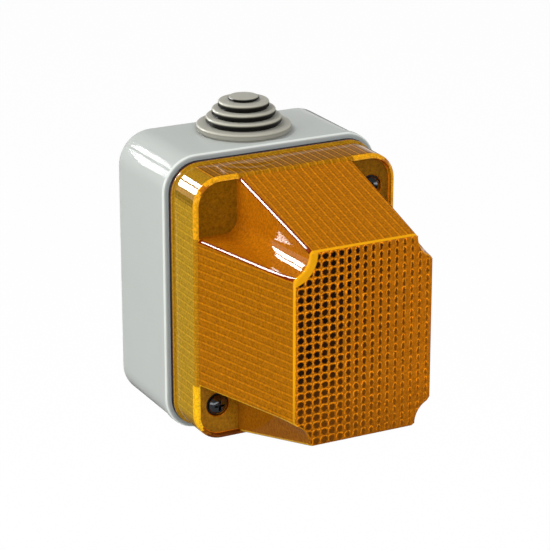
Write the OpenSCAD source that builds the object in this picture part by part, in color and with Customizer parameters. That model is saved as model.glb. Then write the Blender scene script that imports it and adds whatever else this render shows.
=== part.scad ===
// Surface-mounted warning light: a moulded back box, a stepped cable gland on
// top, a black seal and a deep amber cover over a small screw-base lamp.
// Millimetres. +Z is up, -Y is the front, and the origin is the middle of the
// back face, which lies against the wall.

/* [Back box] */
// Width of the box across its front collar
box_w = 66; // [64:0.5:74]
// Height of the box over its front collar
box_h = 80; // [79:0.5:92]
// Depth of the box from the wall to its front edge
box_d = 31; // [30:0.5:36]
// Radius of the four long corners
box_r = 10; // [8.5:0.5:11]
// Thickness of the moulded walls
wall_t = 2.2; // [1.8:0.1:2.6]
// Depth of the raised collar behind the front edge
collar_d = 3; // [2:0.25:3.5]
// How far the collar stands proud of the walls
collar_step = 0.3; // [0.1:0.1:0.6]
// Distance between the two wall-fixing holes
fixing_pitch = 60; // [58:1:62]
// Diameter of the wall-fixing holes
fixing_hole_d = 4.5; // [3.5:0.5:5]

/* [Cable gland] */
// Diameter of the entry hole in the top of the box
entry_d = 20.5; // [16.5:0.5:21]
// Distance of the gland's axis from the wall
entry_from_wall = 14; // [13.9:0.1:14.2]
// Diameter of the lowest step of the gland
gland_d = 26.8; // [25.5:0.1:27.2]
// Height of each full step
gland_step_h = 2.2; // [1.6:0.1:2.4]
// Thickness of the rubber
gland_t = 1.2; // [0.8:0.1:1.5]

/* [Cover] */
// How far the cover stands in front of the box
cover_d = 53; // [48:1:60]
// Depth of the cover's straight skirt, up to the ledge
skirt_d = 15; // [14:0.5:17]
// Gap between the box's outline and the skirt's
skirt_inset = 2.2; // [1.8:0.1:2.6]
// Thickness of the moulded cover
cover_t = 2.2; // [1.8:0.1:2.4]
// Rounding of the ledge's outer edge
ledge_r = 1.2; // [0.8:0.1:1.4]
// Width of the front face
face_w = 41; // [38:0.5:44]
// Height of the front face
face_h = 54; // [50:0.5:58]
// Width of the upper and lower arms where they meet the ledge
arm_w_root = 35.2; // [33:0.2:36]
// Width of the upper and lower arms at the front face
arm_w_tip = 32; // [30:0.2:33]
// Height of the side arms where they meet the ledge
arm_h_root = 42.6; // [40:0.2:43.4]
// Height of the side arms at the front face
arm_h_tip = 40.2; // [38:0.2:41]
// Radius in the corner between two arms at the ledge
scoop_r_root = 3.8; // [3:0.2:4.6]
// Radius in the corner between two arms at the front face
scoop_r_tip = 6.4; // [5:0.2:7]
// How far the corner pockets lie behind the ledge
pocket_d = 1.3; // [0.8:0.1:1.8]
// Thickness of the lip round each pocket
pocket_lip = 1.25; // [1:0.05:1.6]

/* [Seal and cover screws] */
// Thickness of the seal between the box and the cover
seal_t = 1.6; // [1.2:0.1:2.2]
// How far the seal's edge lies behind the collar's outline
seal_inset = 0.5; // [0.2:0.1:0.8]
// Distance across the two cover screws, left to right
screw_span_x = 47.4; // [46.5:0.2:48]
// Distance between the two cover screws, top to bottom
screw_span_z = 56; // [55:0.5:57]
// Thread diameter of the cover screws
screw_d = 3; // [2.5:0.1:3.2]
// Head diameter of the cover screws
screw_head_d = 5.6; // [5:0.1:6]
// Length of the cover screws below the head
screw_l = 26; // [25:0.5:27]

/* [Lamp and holder] */
// Widest diameter of the lamp's glass
bulb_d = 26; // [22:0.5:28]
// Distance from the lamp's contact to the end of its glass
lamp_l = 54; // [50:1:56]
// Thread diameter of the lamp's cap
cap_d = 13.84; // [13.8:0.02:13.9]
// Pitch of the cap's thread
cap_pitch = 2.82; // [2.7:0.02:2.9]
// Diameter of the lampholder's barrel
holder_d = 25; // [23:0.5:26]
// Height of the lampholder over its feet
holder_h = 23.5; // [22:0.5:24]
// Distance between the lampholder's two fixing screws
holder_pitch = 34; // [33.5:0.5:35]

/* [Terminals] */
// Height of the terminal block, top to bottom
block_h = 18; // [17:0.5:20]
// Distance between the two terminals
pole_pitch = 8.4; // [8.2:0.1:8.6]
// Diameter over the insulation of the inner leads
lead_d = 2; // [1.6:0.1:2.2]

/* [Hidden] */
$fn = 96;

// Clearances: a seat in one body, a running fit, and a free gap
seat = 0.05;
running = 0.05;
gap = 0.3;
// Overrun of every cutting shape
over = 1;

// Box
back_edge_r = 1.2;
front_edge_r = 1;
body_w = box_w - 2 * collar_step;
body_h = box_h - 2 * collar_step;
body_r = box_r - collar_step;
hollow_w = body_w - 2 * wall_t;
hollow_h = body_h - 2 * wall_t;
hollow_r = body_r - wall_t;
fixing_boss_wall = 2.5;
fixing_boss_d = fixing_hole_d + 2 * fixing_boss_wall;
fixing_boss_h = 1.2;

// Seal: a flat band under the cover's flange and a tongue inside the box
seal_w = box_w - 2 * seal_inset;
seal_h = box_h - 2 * seal_inset;
seal_r = box_r - seal_inset;
seal_hole_inset = 1.2;
seal_tongue = 1.7;

// Cover, counted from the wall
flange_z = box_d + seal_t;
flange_t = 1.6;
flange_inset = 1.3;
skirt_w = box_w - 2 * skirt_inset;
skirt_h = box_h - 2 * skirt_inset;
skirt_r = box_r - skirt_inset;
ledge_z = box_d + skirt_d;
front_z = box_d + cover_d;
floor_z = ledge_z - pocket_d;
arm_inset = 0.9;
// Keeps the scoop's cone just inside both arms, so that no sliver stays between
scoop_clear = 0.06;

// Cover screws and what they pass through, counted from the wall
screw_xy = [screw_span_x / 2, screw_span_z / 2];
boss_d = 9;
boss_top = box_d - 3;
insert_l = 8;
insert_relief = 4;
insert_d = screw_d + 1.6;
washer_t = 0.7;
washer_d = screw_head_d + 0.8;
sink_d = washer_d + 0.4;
sink_floor_z = floor_z - 1.4;
head_z = sink_floor_z + washer_t;
head_h = 2;
tube_d = 8;
tube_end_z = boss_top + 1.3;
cover_hole_d = screw_d + 0.5;

// Gland steps: outer radius of each, lowest first
gland_r = gland_d / 2;
gland_steps = [gland_r, gland_r - 2.7, gland_r - 4.4, gland_r - 6.2, gland_r - 9];
gland_top_h = 1.1;
gland_groove = 0.35;
gland_bead = 0.6;
lip_h = 3;
lip_gap = 0.2;
lip_reach = 1.1;
entry_top_z = body_h / 2;

// Lampholder, counted from the wall
post_h = 4.8;
post_d = 7;
foot_z = wall_t + post_h;
foot_t = 3.5;
foot_w = 11;
holder_screw_d = 3;
holder_head_d = 5.6;
holder_head_t = 1.8;
holder_top = foot_z + holder_h;
holder_floor_h = 5.5;
holder_floor_z = foot_z + holder_floor_h;
shell_t = 0.9;
shell_gap = 0.15;
shell_bore_d = cap_d + 2 * shell_gap;
shell_d = shell_bore_d + 2 * shell_t;
shell_z = holder_floor_z + 1;
shell_h = 15;
plunger_travel = 0.8;
plunger_head_d = 6;
plunger_head_t = 1.5;
plunger_stem_d = 2.8;
plunger_head_z = holder_floor_z + plunger_travel + 0.5;
contact_z = plunger_head_z + plunger_head_t;

// Wiring plane and tabs
wire_z = foot_z + 2.5;
tab_x = 9;
tab_w = 4.8;
tab_t = 0.8;
tab_end = holder_d / 2 + 0.8;
tab_inner = 5.5;
connector_l = 5.5;
connector_t = 2.8;
connector_wall = 0.6;
connector_end = tab_end + connector_l - 2;

// Terminal block
block_side = 3;
block_w = pole_pitch + 2 * block_side;
block_x = hollow_w / 2 - block_w / 2 - gap;
block_post_d = 6;
block_z = wall_t + 2.8;
block_t = 12;
tube_od = 5;
tube_bore = 3;
tube_l = block_h - 2;
clamp_offset = tube_l / 2 - 3.5;
clamp_d = 2.4;
clamp_head_d = 3.6;
clamp_head_t = 1.5;
clamp_head_z = wire_z + tube_od / 2 + 0.6;
block_head_d = 3.8;
block_head_t = 1.4;
core_d = 1.2;
// The neutral lead passes under the live lead's loop at this clearance
lead_clear = 0.1;
live_loop_r = (block_x - pole_pitch / 2 - tab_x) / 2;
neutral_bend_r = live_loop_r + lead_d + lead_clear;

// Lamp, counted from the wall
tip_z = contact_z + seat;
tip_r = 3;
tip_h = 2.4;
tip_proud = 1;
insulator_h = 3.4;
cap_z = tip_z + tip_proud + insulator_h;
cap_h = 15.4;
cap_r = cap_d / 2;
cap_root_r = cap_r - 0.6;
cap_t = 0.6;
neck_r = cap_root_r - cap_t - seat;
glass_t = 0.8;
bulb_r = bulb_d / 2;
lamp_end_z = tip_z + lamp_l;
bulb_z = lamp_end_z - bulb_r;
flare_a = 35;
glass_foot_h = 8;
glass_z = cap_z + glass_foot_h;
stem_r = 1.8;
stem_h = 11.6;
stem_flare_h = 4;
stem_round = 0.6;
wire_root = 0.8;
wire_z0 = glass_z + glass_t + stem_h;
wire_lean = 22;

// Turns the front view (x right, y up, z out from the wall) into the part's frame
module from_wall() {
    rotate([90, 0, 0]) children();
}

// Points local z up the box, at the gland's axis
module on_top(height) {
    translate([0, height, entry_from_wall]) rotate([-90, 0, 0]) children();
}

// Turns a piece half round the light's axis when s is -1
module half_turn(s) {
    rotate([0, 0, s > 0 ? 0 : 180]) children();
}

// Rectangle with four round corners
module round_rect(w, h, r) {
    square([w - 2 * r, h], center = true);
    square([w, h - 2 * r], center = true);
    for (x = [-1, 1], y = [-1, 1]) translate([x * (w / 2 - r), y * (h / 2 - r)]) circle(r);
}

// Half of a side view: from the middle to reach, d deep, edges rounded e0 and e1
module edge_profile(reach, d, e0, e1) {
    square_from(0, 0, reach - max(e0, e1), d);
    square_from(0, e0, reach, d - e0 - e1);
    if (e0 > 0) translate([reach - e0, e0]) circle(e0, $fn = 48);
    if (e1 > 0) translate([reach - e1, d - e1]) circle(e1, $fn = 48);
    if (e0 > e1) square_from(0, d - e1 - e0, reach - e1, e0 + e1);
    if (e1 > e0) square_from(0, 0, reach - e0, e0 + e1);
}

module square_from(x, y, w, h) {
    translate([x, y]) square([w, h]);
}

// Block with round upright corners and rounded back (e0) and front (e1) edges
module soft_block(w, h, r, d, e0, e1) {
    for (a = [0, 180]) rotate([0, 0, a]) {
        translate([0, h / 2 - r, 0]) rotate([90, 0, 0]) linear_extrude(h - 2 * r)
            edge_profile(w / 2, d, e0, e1);
        translate([-(w / 2 - r), 0, 0]) rotate([90, 0, 90]) linear_extrude(w - 2 * r)
            edge_profile(h / 2, d, e0, e1);
    }
    for (x = [-1, 1], y = [-1, 1]) translate([x * (w / 2 - r), y * (h / 2 - r), 0])
        rotate_extrude() edge_profile(r, d, e0, e1);
}

module ring_2d(ro, ri) {
    difference() {
        circle(ro);
        circle(ri);
    }
}

// Screw with a slotted or cross-cut head, its head's underside at z = 0
module screw(d, l, head_d, head_t, cross) {
    difference() {
        union() {
            translate([0, 0, -l]) cylinder(h = l + over / 2, d = d);
            cylinder(h = head_t, d = head_d);
        }
        translate([0, 0, head_t - 0.9]) {
            translate([-head_d * 0.35, -0.35, 0]) cube([head_d * 0.7, 0.7, over + 1]);
            if (cross) translate([-0.35, -head_d * 0.35, 0]) cube([0.7, head_d * 0.7, over + 1]);
        }
    }
}

module housing() {
    color("#c3c7c3") from_wall() difference() {
        union() {
            difference() {
                union() {
                    soft_block(body_w, body_h, body_r, box_d - over, back_edge_r, 0);
                    translate([0, 0, box_d - collar_d])
                        soft_block(box_w, box_h, box_r, collar_d, 0, front_edge_r);
                }
                translate([0, 0, wall_t]) linear_extrude(box_d) round_rect(hollow_w, hollow_h, hollow_r);
            }
            for (s = [1, -1]) half_turn(s) screw_boss();
            for (y = [-1, 1]) {
                translate([0, y * holder_pitch / 2, wall_t - over / 2])
                    cylinder(h = post_h + over / 2, d = post_d);
                translate([0, y * fixing_pitch / 2, wall_t - over / 2])
                    cylinder(h = fixing_boss_h + over / 2, d = fixing_boss_d);
            }
            translate([block_x, 0, wall_t - over / 2])
                cylinder(h = block_z - wall_t + over / 2, d = block_post_d);
        }
        for (s = [1, -1]) half_turn(s) translate([screw_xy.x, screw_xy.y, boss_top - insert_l - insert_relief])
            cylinder(h = insert_l + insert_relief + over, d = insert_d + 2 * seat);
        for (y = [-1, 1]) {
            translate([0, y * fixing_pitch / 2, -over]) cylinder(h = wall_t + 2 * over + 1, d = fixing_hole_d);
            translate([0, y * holder_pitch / 2, wall_t]) cylinder(h = post_h + over, d = holder_screw_d + 2 * seat);
        }
        translate([block_x, 0, wall_t]) cylinder(h = block_z, d = clamp_d + 2 * seat);
        on_top(hollow_h / 2 - over) cylinder(h = wall_t + 2 * over, d = entry_d);
        // Thin ring of the knock-out for a cable from below
        translate([0, -body_h / 2 - over, entry_from_wall]) rotate([-90, 0, 0])
            linear_extrude(over + wall_t / 3) ring_2d(entry_d / 2, entry_d / 2 - 1);
    }
}

// Boss for one cover screw, webbed to the nearest side wall
module screw_boss() {
    translate([screw_xy.x, screw_xy.y, wall_t - over / 2])
        cylinder(h = boss_top - wall_t + over / 2, d = boss_d);
    translate([screw_xy.x, screw_xy.y - 1, wall_t - over / 2])
        cube([hollow_w / 2 - screw_xy.x + over, 2, boss_top - wall_t - 3]);
    translate([screw_xy.x - 1, screw_xy.y, wall_t - over / 2])
        cube([2, hollow_h / 2 - screw_xy.y + over, boss_top - wall_t - 3]);
}

module boss_inserts() {
    color("#c9a24a") from_wall() for (s = [1, -1]) half_turn(s)
        translate([screw_xy.x, screw_xy.y, boss_top - insert_l]) linear_extrude(insert_l)
            ring_2d(insert_d / 2, screw_d / 2 + running);
}

// One step of the gland: a groove at its foot, a rounded rim at its top
module gland_step(r, h, sink) {
    rotate_extrude() {
        translate([0, -sink]) square([r - gland_groove, h - gland_bead + sink]);
        translate([0, gland_groove]) square([r - gland_bead, h - gland_groove]);
        translate([r - gland_bead, h - gland_bead]) circle(gland_bead, $fn = 32);
    }
}

// Stepped rubber gland: solid steps outside, thin steps inside, lip under the wall
module cable_gland() {
    last = len(gland_steps) - 1;
    throat_r = entry_d / 2 - seat;
    color("#b5b8b0") from_wall() on_top(entry_top_z) difference() {
        union() {
            for (i = [0:last]) translate([0, 0, i * gland_step_h])
                gland_step(gland_steps[i], i < last ? gland_step_h : gland_top_h, i > 0 ? gland_groove / 2 : 0);
            translate([0, 0, -wall_t - lip_h]) cylinder(h = wall_t + lip_h + gland_bead, r = throat_r);
            translate([0, 0, -wall_t - lip_h])
                cylinder(h = lip_h - lip_gap, r1 = throat_r - lip_gap, r2 = throat_r + lip_reach);
        }
        translate([0, 0, -wall_t - lip_h - over])
            cylinder(h = wall_t + lip_h + over, r = throat_r - gland_t * 1.5);
        for (i = [0:last - 1]) translate([0, 0, i * gland_step_h - gland_t - over])
            cylinder(h = gland_step_h + over, r = gland_steps[i + 1] - gland_t);
    }
}

module seal_ring() {
    color("#1b1c1e") from_wall() difference() {
        union() {
            translate([0, 0, box_d]) linear_extrude(seal_t) round_rect(seal_w, seal_h, seal_r);
            translate([0, 0, box_d - seal_tongue]) linear_extrude(seal_tongue + seal_t / 2)
                round_rect(hollow_w - 2 * seat, hollow_h - 2 * seat, hollow_r - seat);
        }
        translate([0, 0, box_d - seal_tongue - over]) linear_extrude(seal_tongue + seal_t + 2 * over)
            round_rect(hollow_w - 2 * seal_hole_inset, hollow_h - 2 * seal_hole_inset, hollow_r - seal_hole_inset);
    }
}

// Upright strip: x reach r0 at height z0 to r1 at height z1, long in y
module strip_x(r0, r1, z0, z1) {
    rotate([90, 0, 0]) linear_extrude(box_h, center = true)
        polygon([[-r0, z0], [r0, z0], [r1, z1], [-r1, z1]]);
}

module strip_y(r0, r1, z0, z1) {
    rotate([0, 0, 90]) strip_x(r0, r1, z0, z1);
}

// Material left in the corner between two arms: a block less a leaning cone
module scoop_corner() {
    z0 = floor_z;
    z1 = front_z + over;
    p0 = [arm_w_root / 2, arm_h_root / 2];
    p1 = [arm_w_tip / 2, arm_h_tip / 2];
    axis = [p1.x + scoop_r_tip - p0.x - scoop_r_root, p1.y + scoop_r_tip - p0.y - scoop_r_root, z1 - z0];
    lean = acos(axis.z / norm(axis));
    heading = atan2(axis.y, axis.x);
    difference() {
        intersection() {
            strip_x(p0.x + scoop_r_root, p1.x + scoop_r_tip, z0, z1);
            strip_y(p0.y + scoop_r_root, p1.y + scoop_r_tip, z0, z1);
            translate([0, 0, z0]) cube([box_w, box_h, z1 - z0]);
        }
        translate([p0.x + scoop_r_root, p0.y + scoop_r_root, z0]) rotate([0, lean, heading])
            translate([0, 0, -over]) cylinder(h = norm(axis) + 2 * over,
                r1 = scoop_r_root + scoop_clear, r2 = scoop_r_tip + scoop_clear);
    }
}

// The cross-shaped tower in front of the ledge, shrunk by t all round
module tower(t, corners) {
    z0 = floor_z - t - (t > 0 ? over : 0);
    z1 = front_z - t;
    w0 = skirt_w / 2 - arm_inset - t;
    h0 = skirt_h / 2 - arm_inset - t;
    slope_x = (skirt_w / 2 - arm_inset - face_w / 2) / (front_z - ledge_z);
    slope_y = (skirt_h / 2 - arm_inset - face_h / 2) / (front_z - ledge_z);
    arm_slope_x = (arm_w_root - arm_w_tip) / 2 / (front_z - floor_z);
    arm_slope_y = (arm_h_root - arm_h_tip) / 2 / (front_z - floor_z);
    intersection() {
        union() {
            strip_x(arm_w_root / 2 - t, arm_w_root / 2 - t - arm_slope_x * (z1 - z0), z0, z1);
            strip_y(arm_h_root / 2 - t, arm_h_root / 2 - t - arm_slope_y * (z1 - z0), z0, z1);
            if (corners) for (mx = [0, 1], my = [0, 1])
                mirror([mx, 0, 0]) mirror([0, my, 0]) scoop_corner();
        }
        strip_x(w0 + slope_x * (ledge_z - z0), w0 - slope_x * (z1 - ledge_z), z0, z1);
        strip_y(h0 + slope_y * (ledge_z - z0), h0 - slope_y * (z1 - ledge_z), z0, z1);
        linear_extrude(front_z + over) round_rect(skirt_w - 2 * t, skirt_h - 2 * t, skirt_r - t);
    }
}

module cover() {
    lip_w = skirt_w - 2 * pocket_lip;
    lip_h = skirt_h - 2 * pocket_lip;
    color("#d98c10", 0.8) from_wall() difference() {
        union() {
            difference() {
                union() {
                    difference() {
                        union() {
                            translate([0, 0, flange_z]) linear_extrude(flange_t)
                                round_rect(box_w - 2 * flange_inset, box_h - 2 * flange_inset, box_r - flange_inset);
                            translate([0, 0, flange_z])
                                soft_block(skirt_w, skirt_h, skirt_r, ledge_z - flange_z, 0, ledge_r);
                        }
                        translate([0, 0, floor_z]) linear_extrude(pocket_d + over)
                            round_rect(lip_w, lip_h, skirt_r - pocket_lip);
                    }
                    tower(0, true);
                }
                translate([0, 0, flange_z - over]) linear_extrude(floor_z - cover_t - flange_z + over)
                    round_rect(skirt_w - 2 * cover_t, skirt_h - 2 * cover_t, skirt_r - cover_t);
                tower(cover_t, false);
            }
            for (s = [1, -1]) half_turn(s) translate([screw_xy.x, screw_xy.y, tube_end_z])
                cylinder(h = floor_z - cover_t / 2 - tube_end_z, d = tube_d);
        }
        for (s = [1, -1]) half_turn(s) translate([screw_xy.x, screw_xy.y, 0]) {
            translate([0, 0, tube_end_z - over]) cylinder(h = floor_z - tube_end_z + 2 * over, d = cover_hole_d);
            translate([0, 0, sink_floor_z]) cylinder(h = floor_z - sink_floor_z + over, d = sink_d);
        }
    }
}

module screw_washers() {
    color("#2a2a2c") from_wall() for (s = [1, -1]) half_turn(s)
        translate([screw_xy.x, screw_xy.y, sink_floor_z]) linear_extrude(washer_t)
            ring_2d(washer_d / 2, screw_d / 2 + running);
}

// Push-on rings that keep the screws in the cover when it is taken off
module screw_retainers() {
    color("#e8e4d8") from_wall() for (s = [1, -1]) half_turn(s)
        translate([screw_xy.x, screw_xy.y, boss_top + gap / 2]) linear_extrude(tube_end_z - boss_top - gap / 2)
            ring_2d(tube_d / 2 - 1, screw_d / 2 + running);
}

module cover_screw(s) {
    color("#8f9296") from_wall() half_turn(s) translate([screw_xy.x, screw_xy.y, head_z])
        screw(screw_d, screw_l, screw_head_d, head_h, true);
}

module cover_screw_upper() {
    cover_screw(1);
}

module cover_screw_lower() {
    cover_screw(-1);
}

module holder_base() {
    color("#ece9e0") from_wall() difference() {
        union() {
            translate([0, 0, foot_z]) cylinder(h = holder_h, d = holder_d);
            translate([0, 0, foot_z]) linear_extrude(foot_t) {
                square([foot_w, holder_pitch], center = true);
                for (y = [-1, 1]) translate([0, y * holder_pitch / 2]) circle(foot_w / 2);
            }
        }
        translate([0, 0, shell_z]) cylinder(h = holder_h, d = shell_d + 2 * seat);
        translate([0, 0, holder_floor_z]) cylinder(h = holder_h, d = shell_bore_d - 2);
        translate([0, 0, foot_z - over]) cylinder(h = holder_h, d = plunger_stem_d + 2 * running);
        for (y = [-1, 1]) translate([0, y * holder_pitch / 2, foot_z - over])
            cylinder(h = foot_t + 2 * over, d = holder_screw_d + 2 * seat);
        for (x = [-1, 1]) translate([x * tab_x - tab_w / 2 - seat, -holder_d / 2 - over, wire_z - tab_t / 2 - seat])
            cube([tab_w + 2 * seat, holder_d / 2 + over - tab_inner + seat, tab_t + 2 * seat]);
    }
}

module holder_screws() {
    color("#a9acb0") from_wall() for (y = [-1, 1]) translate([0, y * holder_pitch / 2, foot_z + foot_t])
        screw(holder_screw_d, foot_t + post_h - 0.5, holder_head_d, holder_head_t, false);
}

// Plain tube for the lamp's threaded cap, turned in under the cap
module threaded_shell() {
    color("#cfa748") from_wall() {
        translate([0, 0, shell_z]) linear_extrude(shell_h) ring_2d(shell_d / 2, shell_bore_d / 2);
        translate([0, 0, shell_z]) linear_extrude(shell_t) ring_2d(shell_d / 2, shell_bore_d / 2 - 1);
    }
}

module contact_plunger() {
    color("#d8b25a") from_wall() {
        translate([0, 0, plunger_head_z]) cylinder(h = plunger_head_t, d = plunger_head_d);
        translate([0, 0, foot_z + 1.2]) cylinder(h = plunger_head_z - foot_z - 1.2 + over / 2, d = plunger_stem_d);
    }
}

// Round-wire spring under the plunger's head, as one swept helix
module contact_spring() {
    wire = 0.36;
    turns = 1.6;
    coil_r = plunger_stem_d / 2 + 0.75;
    z0 = holder_floor_z + wire / 2;
    z1 = plunger_head_z - wire / 2;
    rings = 48;
    sides = 8;
    points = [for (i = [0:rings], j = [0:sides - 1])
        let (a = 360 * turns * i / rings, b = 360 * j / sides, r = coil_r + wire / 2 * cos(b))
        [r * cos(a), r * sin(a), z0 + (z1 - z0) * i / rings + wire / 2 * sin(b)]];
    walls = [for (i = [0:rings - 1], j = [0:sides - 1])
        let (n = (j + 1) % sides)
        [i * sides + j, i * sides + n, (i + 1) * sides + n, (i + 1) * sides + j]];
    ends = [[for (j = [0:sides - 1]) sides - 1 - j], [for (j = [0:sides - 1]) rings * sides + j]];
    color("#b9bcc0") from_wall() polyhedron(points, concat(walls, ends));
}

module holder_tabs() {
    color("#d0aa52") from_wall() for (x = [-1, 1])
        translate([x * tab_x - tab_w / 2, -tab_end, wire_z - tab_t / 2]) cube([tab_w, tab_end - tab_inner, tab_t]);
}

module tab_connectors() {
    w = tab_w + 2 * connector_wall;
    color("#c43a2f") from_wall() for (x = [-1, 1]) difference() {
        translate([x * tab_x - w / 2, -connector_end, wire_z - connector_t / 2]) cube([w, connector_l, connector_t]);
        translate([x * tab_x - tab_w / 2 - seat, -tab_end - seat, wire_z - tab_t / 2 - seat])
            cube([tab_w + 2 * seat, connector_l, tab_t + 2 * seat]);
    }
}

// Solder button of the lamp
module lamp_tip() {
    color("#b8b6ae") from_wall() translate([0, 0, tip_z]) rotate_extrude()
        polygon([[0, 0], [tip_r * 0.6, 0], [tip_r * 0.87, tip_h / 6], [tip_r, tip_h / 2], [tip_r, tip_h], [0, tip_h]]);
}

module cap_insulator() {
    inner = tip_r + running;
    outer = cap_root_r - 0.4;
    color("#17181a") from_wall() translate([0, 0, cap_z - insulator_h]) rotate_extrude()
        polygon([[inner, 0], [inner + 0.8, 0], [outer, insulator_h - 1], [outer, insulator_h], [inner, insulator_h]]);
}

module lamp_cap() {
    ridges = 4;
    ridge_r = 0.8;
    rim_h = 2.4;
    cap_hole_r = 2;
    color("#d5b566") from_wall() translate([0, 0, cap_z]) rotate_extrude() difference() {
        union() {
            square([cap_root_r, cap_h]);
            for (i = [0:ridges - 1]) translate([cap_r - ridge_r, 2 * ridge_r + i * cap_pitch])
                circle(ridge_r, $fn = 32);
            translate([0, cap_h - rim_h]) square([cap_r, rim_h]);
        }
        translate([-over, cap_t]) square([cap_root_r - cap_t + over, cap_h]);
        translate([-over, -over]) square([cap_hole_r + over, cap_t + 2 * over]);
    }
}

// Outline of the blown glass at radius less t: ball, flare and neck
module glass_2d(t) {
    ball = bulb_r - t;
    neck = neck_r - t;
    touch = [ball * cos(flare_a), bulb_z - ball * sin(flare_a)];
    flare_h = (touch.x - neck) / tan(flare_a);
    translate([0, bulb_z]) circle(ball);
    polygon([[0, glass_z + t], [neck, glass_z + t], [neck, touch.y - flare_h], touch, [0, bulb_z]]);
}

module lamp_glass() {
    color("#f4efe0", 0.5) from_wall() rotate_extrude() difference() {
        glass_2d(0);
        glass_2d(glass_t);
        translate([-bulb_r - over, 0]) square([bulb_r + over, lamp_end_z + over]);
    }
}

// Flared glass stem that carries the wires
module lamp_stem() {
    color("#e6ece8", 0.6) from_wall() translate([0, 0, glass_z + glass_t]) rotate_extrude()
        polygon([[0, 0], [neck_r - glass_t - seat, 0], [stem_r, stem_flare_h], [stem_r, stem_h - stem_round],
            [stem_r - stem_round, stem_h], [0, stem_h]]);
}

module lamp_wires() {
    color("#8d8f92") from_wall() for (s = [1, -1]) half_turn(s) translate([wire_root, 0, wire_z0])
        rotate([0, wire_lean, 0]) cylinder(h = bulb_z - wire_z0, d = 0.5, $fn = 24);
}

module filament() {
    wire_l = bulb_z - wire_z0;
    reach = wire_root + wire_l * sin(wire_lean);
    color("#70706c") from_wall() translate([0, 0, wire_z0 + wire_l * cos(wire_lean) + gap]) rotate([90, 0, 0])
        rotate_extrude(angle = 180) translate([reach, 0]) circle(d = 0.45, $fn = 24);
}

module at_poles() {
    for (s = [-1, 1]) translate([block_x + s * pole_pitch / 2, 0, 0]) children();
}

module terminal_block() {
    color("#e4e1d6") from_wall() difference() {
        translate([block_x - block_w / 2, -block_h / 2, block_z]) cube([block_w, block_h, block_t]);
        at_poles() {
            translate([0, 0, wire_z]) rotate([90, 0, 0]) cylinder(h = block_h + 2 * over, d = tube_od + 2 * seat, center = true);
            for (y = [-1, 1]) translate([0, y * clamp_offset, wire_z])
                cylinder(h = block_t, d = clamp_head_d + 0.6);
        }
        translate([block_x, 0, block_z - over]) cylinder(h = block_t + 2 * over, d = clamp_d + 2 * seat);
    }
}

module block_screw() {
    color("#a9acb0") from_wall() translate([block_x, 0, block_z + block_t])
        screw(clamp_d, block_t + block_z - wall_t - 0.4, block_head_d, block_head_t, false);
}

module terminal_tubes() {
    color("#cda64e") from_wall() at_poles() difference() {
        translate([0, 0, wire_z]) rotate([90, 0, 0]) cylinder(h = tube_l, d = tube_od, center = true);
        translate([0, 0, wire_z]) rotate([90, 0, 0]) cylinder(h = tube_l + 2 * over, d = tube_bore, center = true);
        for (y = [-1, 1]) translate([0, y * clamp_offset, wire_z]) cylinder(h = tube_od, d = clamp_d + 2 * running);
    }
}

// Clamping screw of pole px (-1 or 1) at end py (-1 lamp, 1 supply)
module clamp_screw(px, py) {
    color("#b4b7ba") from_wall()
        translate([block_x + px * pole_pitch / 2, py * clamp_offset, clamp_head_z])
            screw(clamp_d, clamp_head_z - wire_z - core_d / 2, clamp_head_d, clamp_head_t, false);
}

module supply_screw_live() {
    clamp_screw(-1, 1);
}

module supply_screw_neutral() {
    clamp_screw(1, 1);
}

module lamp_screw_live() {
    clamp_screw(-1, -1);
}

module lamp_screw_neutral() {
    clamp_screw(1, -1);
}

// Straight piece of a lead from point a up to point b, both [x, y] in the wiring plane
module lead_run(a, b, d) {
    translate([a.x, a.y, wire_z]) rotate([0, 0, atan2(b.y - a.y, b.x - a.x)]) rotate([0, 90, 0])
        cylinder(h = norm(b - a), d = d, $fn = 48);
}

// Bend of a lead about c, from angle a0, turning through turn
module lead_bend(c, r, a0, turn) {
    translate([c.x, c.y, wire_z]) rotate([0, 0, a0]) rotate_extrude(angle = turn)
        translate([r, 0]) circle(d = lead_d, $fn = 48);
}

// Live lead: down from its terminal, half a turn, and up into the right connector
module lead_live() {
    x1 = block_x - pole_pitch / 2;
    r = live_loop_r;
    y0 = -tube_l / 2 - 0.4;
    y1 = -connector_end - 0.6;
    color("#7a4a2c") from_wall() {
        lead_run([x1, -1.5], [x1, y0], core_d);
        lead_run([x1, y0], [x1, y1], lead_d);
        lead_bend([tab_x + r, y1], r, 180, 180);
        lead_run([tab_x, y1], [tab_x, -connector_end], lead_d);
    }
}

// Neutral lead: under the holder's foot to the left connector
module lead_neutral() {
    x1 = block_x + pole_pitch / 2;
    r = neutral_bend_r;
    y0 = -tube_l / 2 - 0.4;
    y2 = -connector_end - 0.6;
    y1 = y2 - r;
    color("#3f6fb0") from_wall() {
        lead_run([x1, -1.5], [x1, y0], core_d);
        lead_run([x1, y0], [x1, y1 + r], lead_d);
        lead_bend([x1 - r, y1 + r], r, 270, 90);
        lead_run([x1 - r, y1], [-tab_x + r, y1], lead_d);
        lead_bend([-tab_x + r, y1 + r], r, 180, 90);
        lead_run([-tab_x, y1 + r], [-tab_x, -connector_end], lead_d);
    }
}

housing();
boss_inserts();
cable_gland();
seal_ring();
cover();
screw_washers();
screw_retainers();
cover_screw_lower();
cover_screw_upper();
holder_base();
holder_screws();
threaded_shell();
contact_plunger();
contact_spring();
holder_tabs();
tab_connectors();
lamp_tip();
cap_insulator();
lamp_cap();
lamp_glass();
lamp_stem();
lamp_wires();
filament();
terminal_block();
block_screw();
terminal_tubes();
supply_screw_live();
supply_screw_neutral();
lamp_screw_live();
lamp_screw_neutral();
lead_live();
lead_neutral();
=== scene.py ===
from math import acos, atan2, cos, pi, radians, sin, sqrt, tan

import bmesh
import bpy
from mathutils import Matrix, Vector


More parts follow.
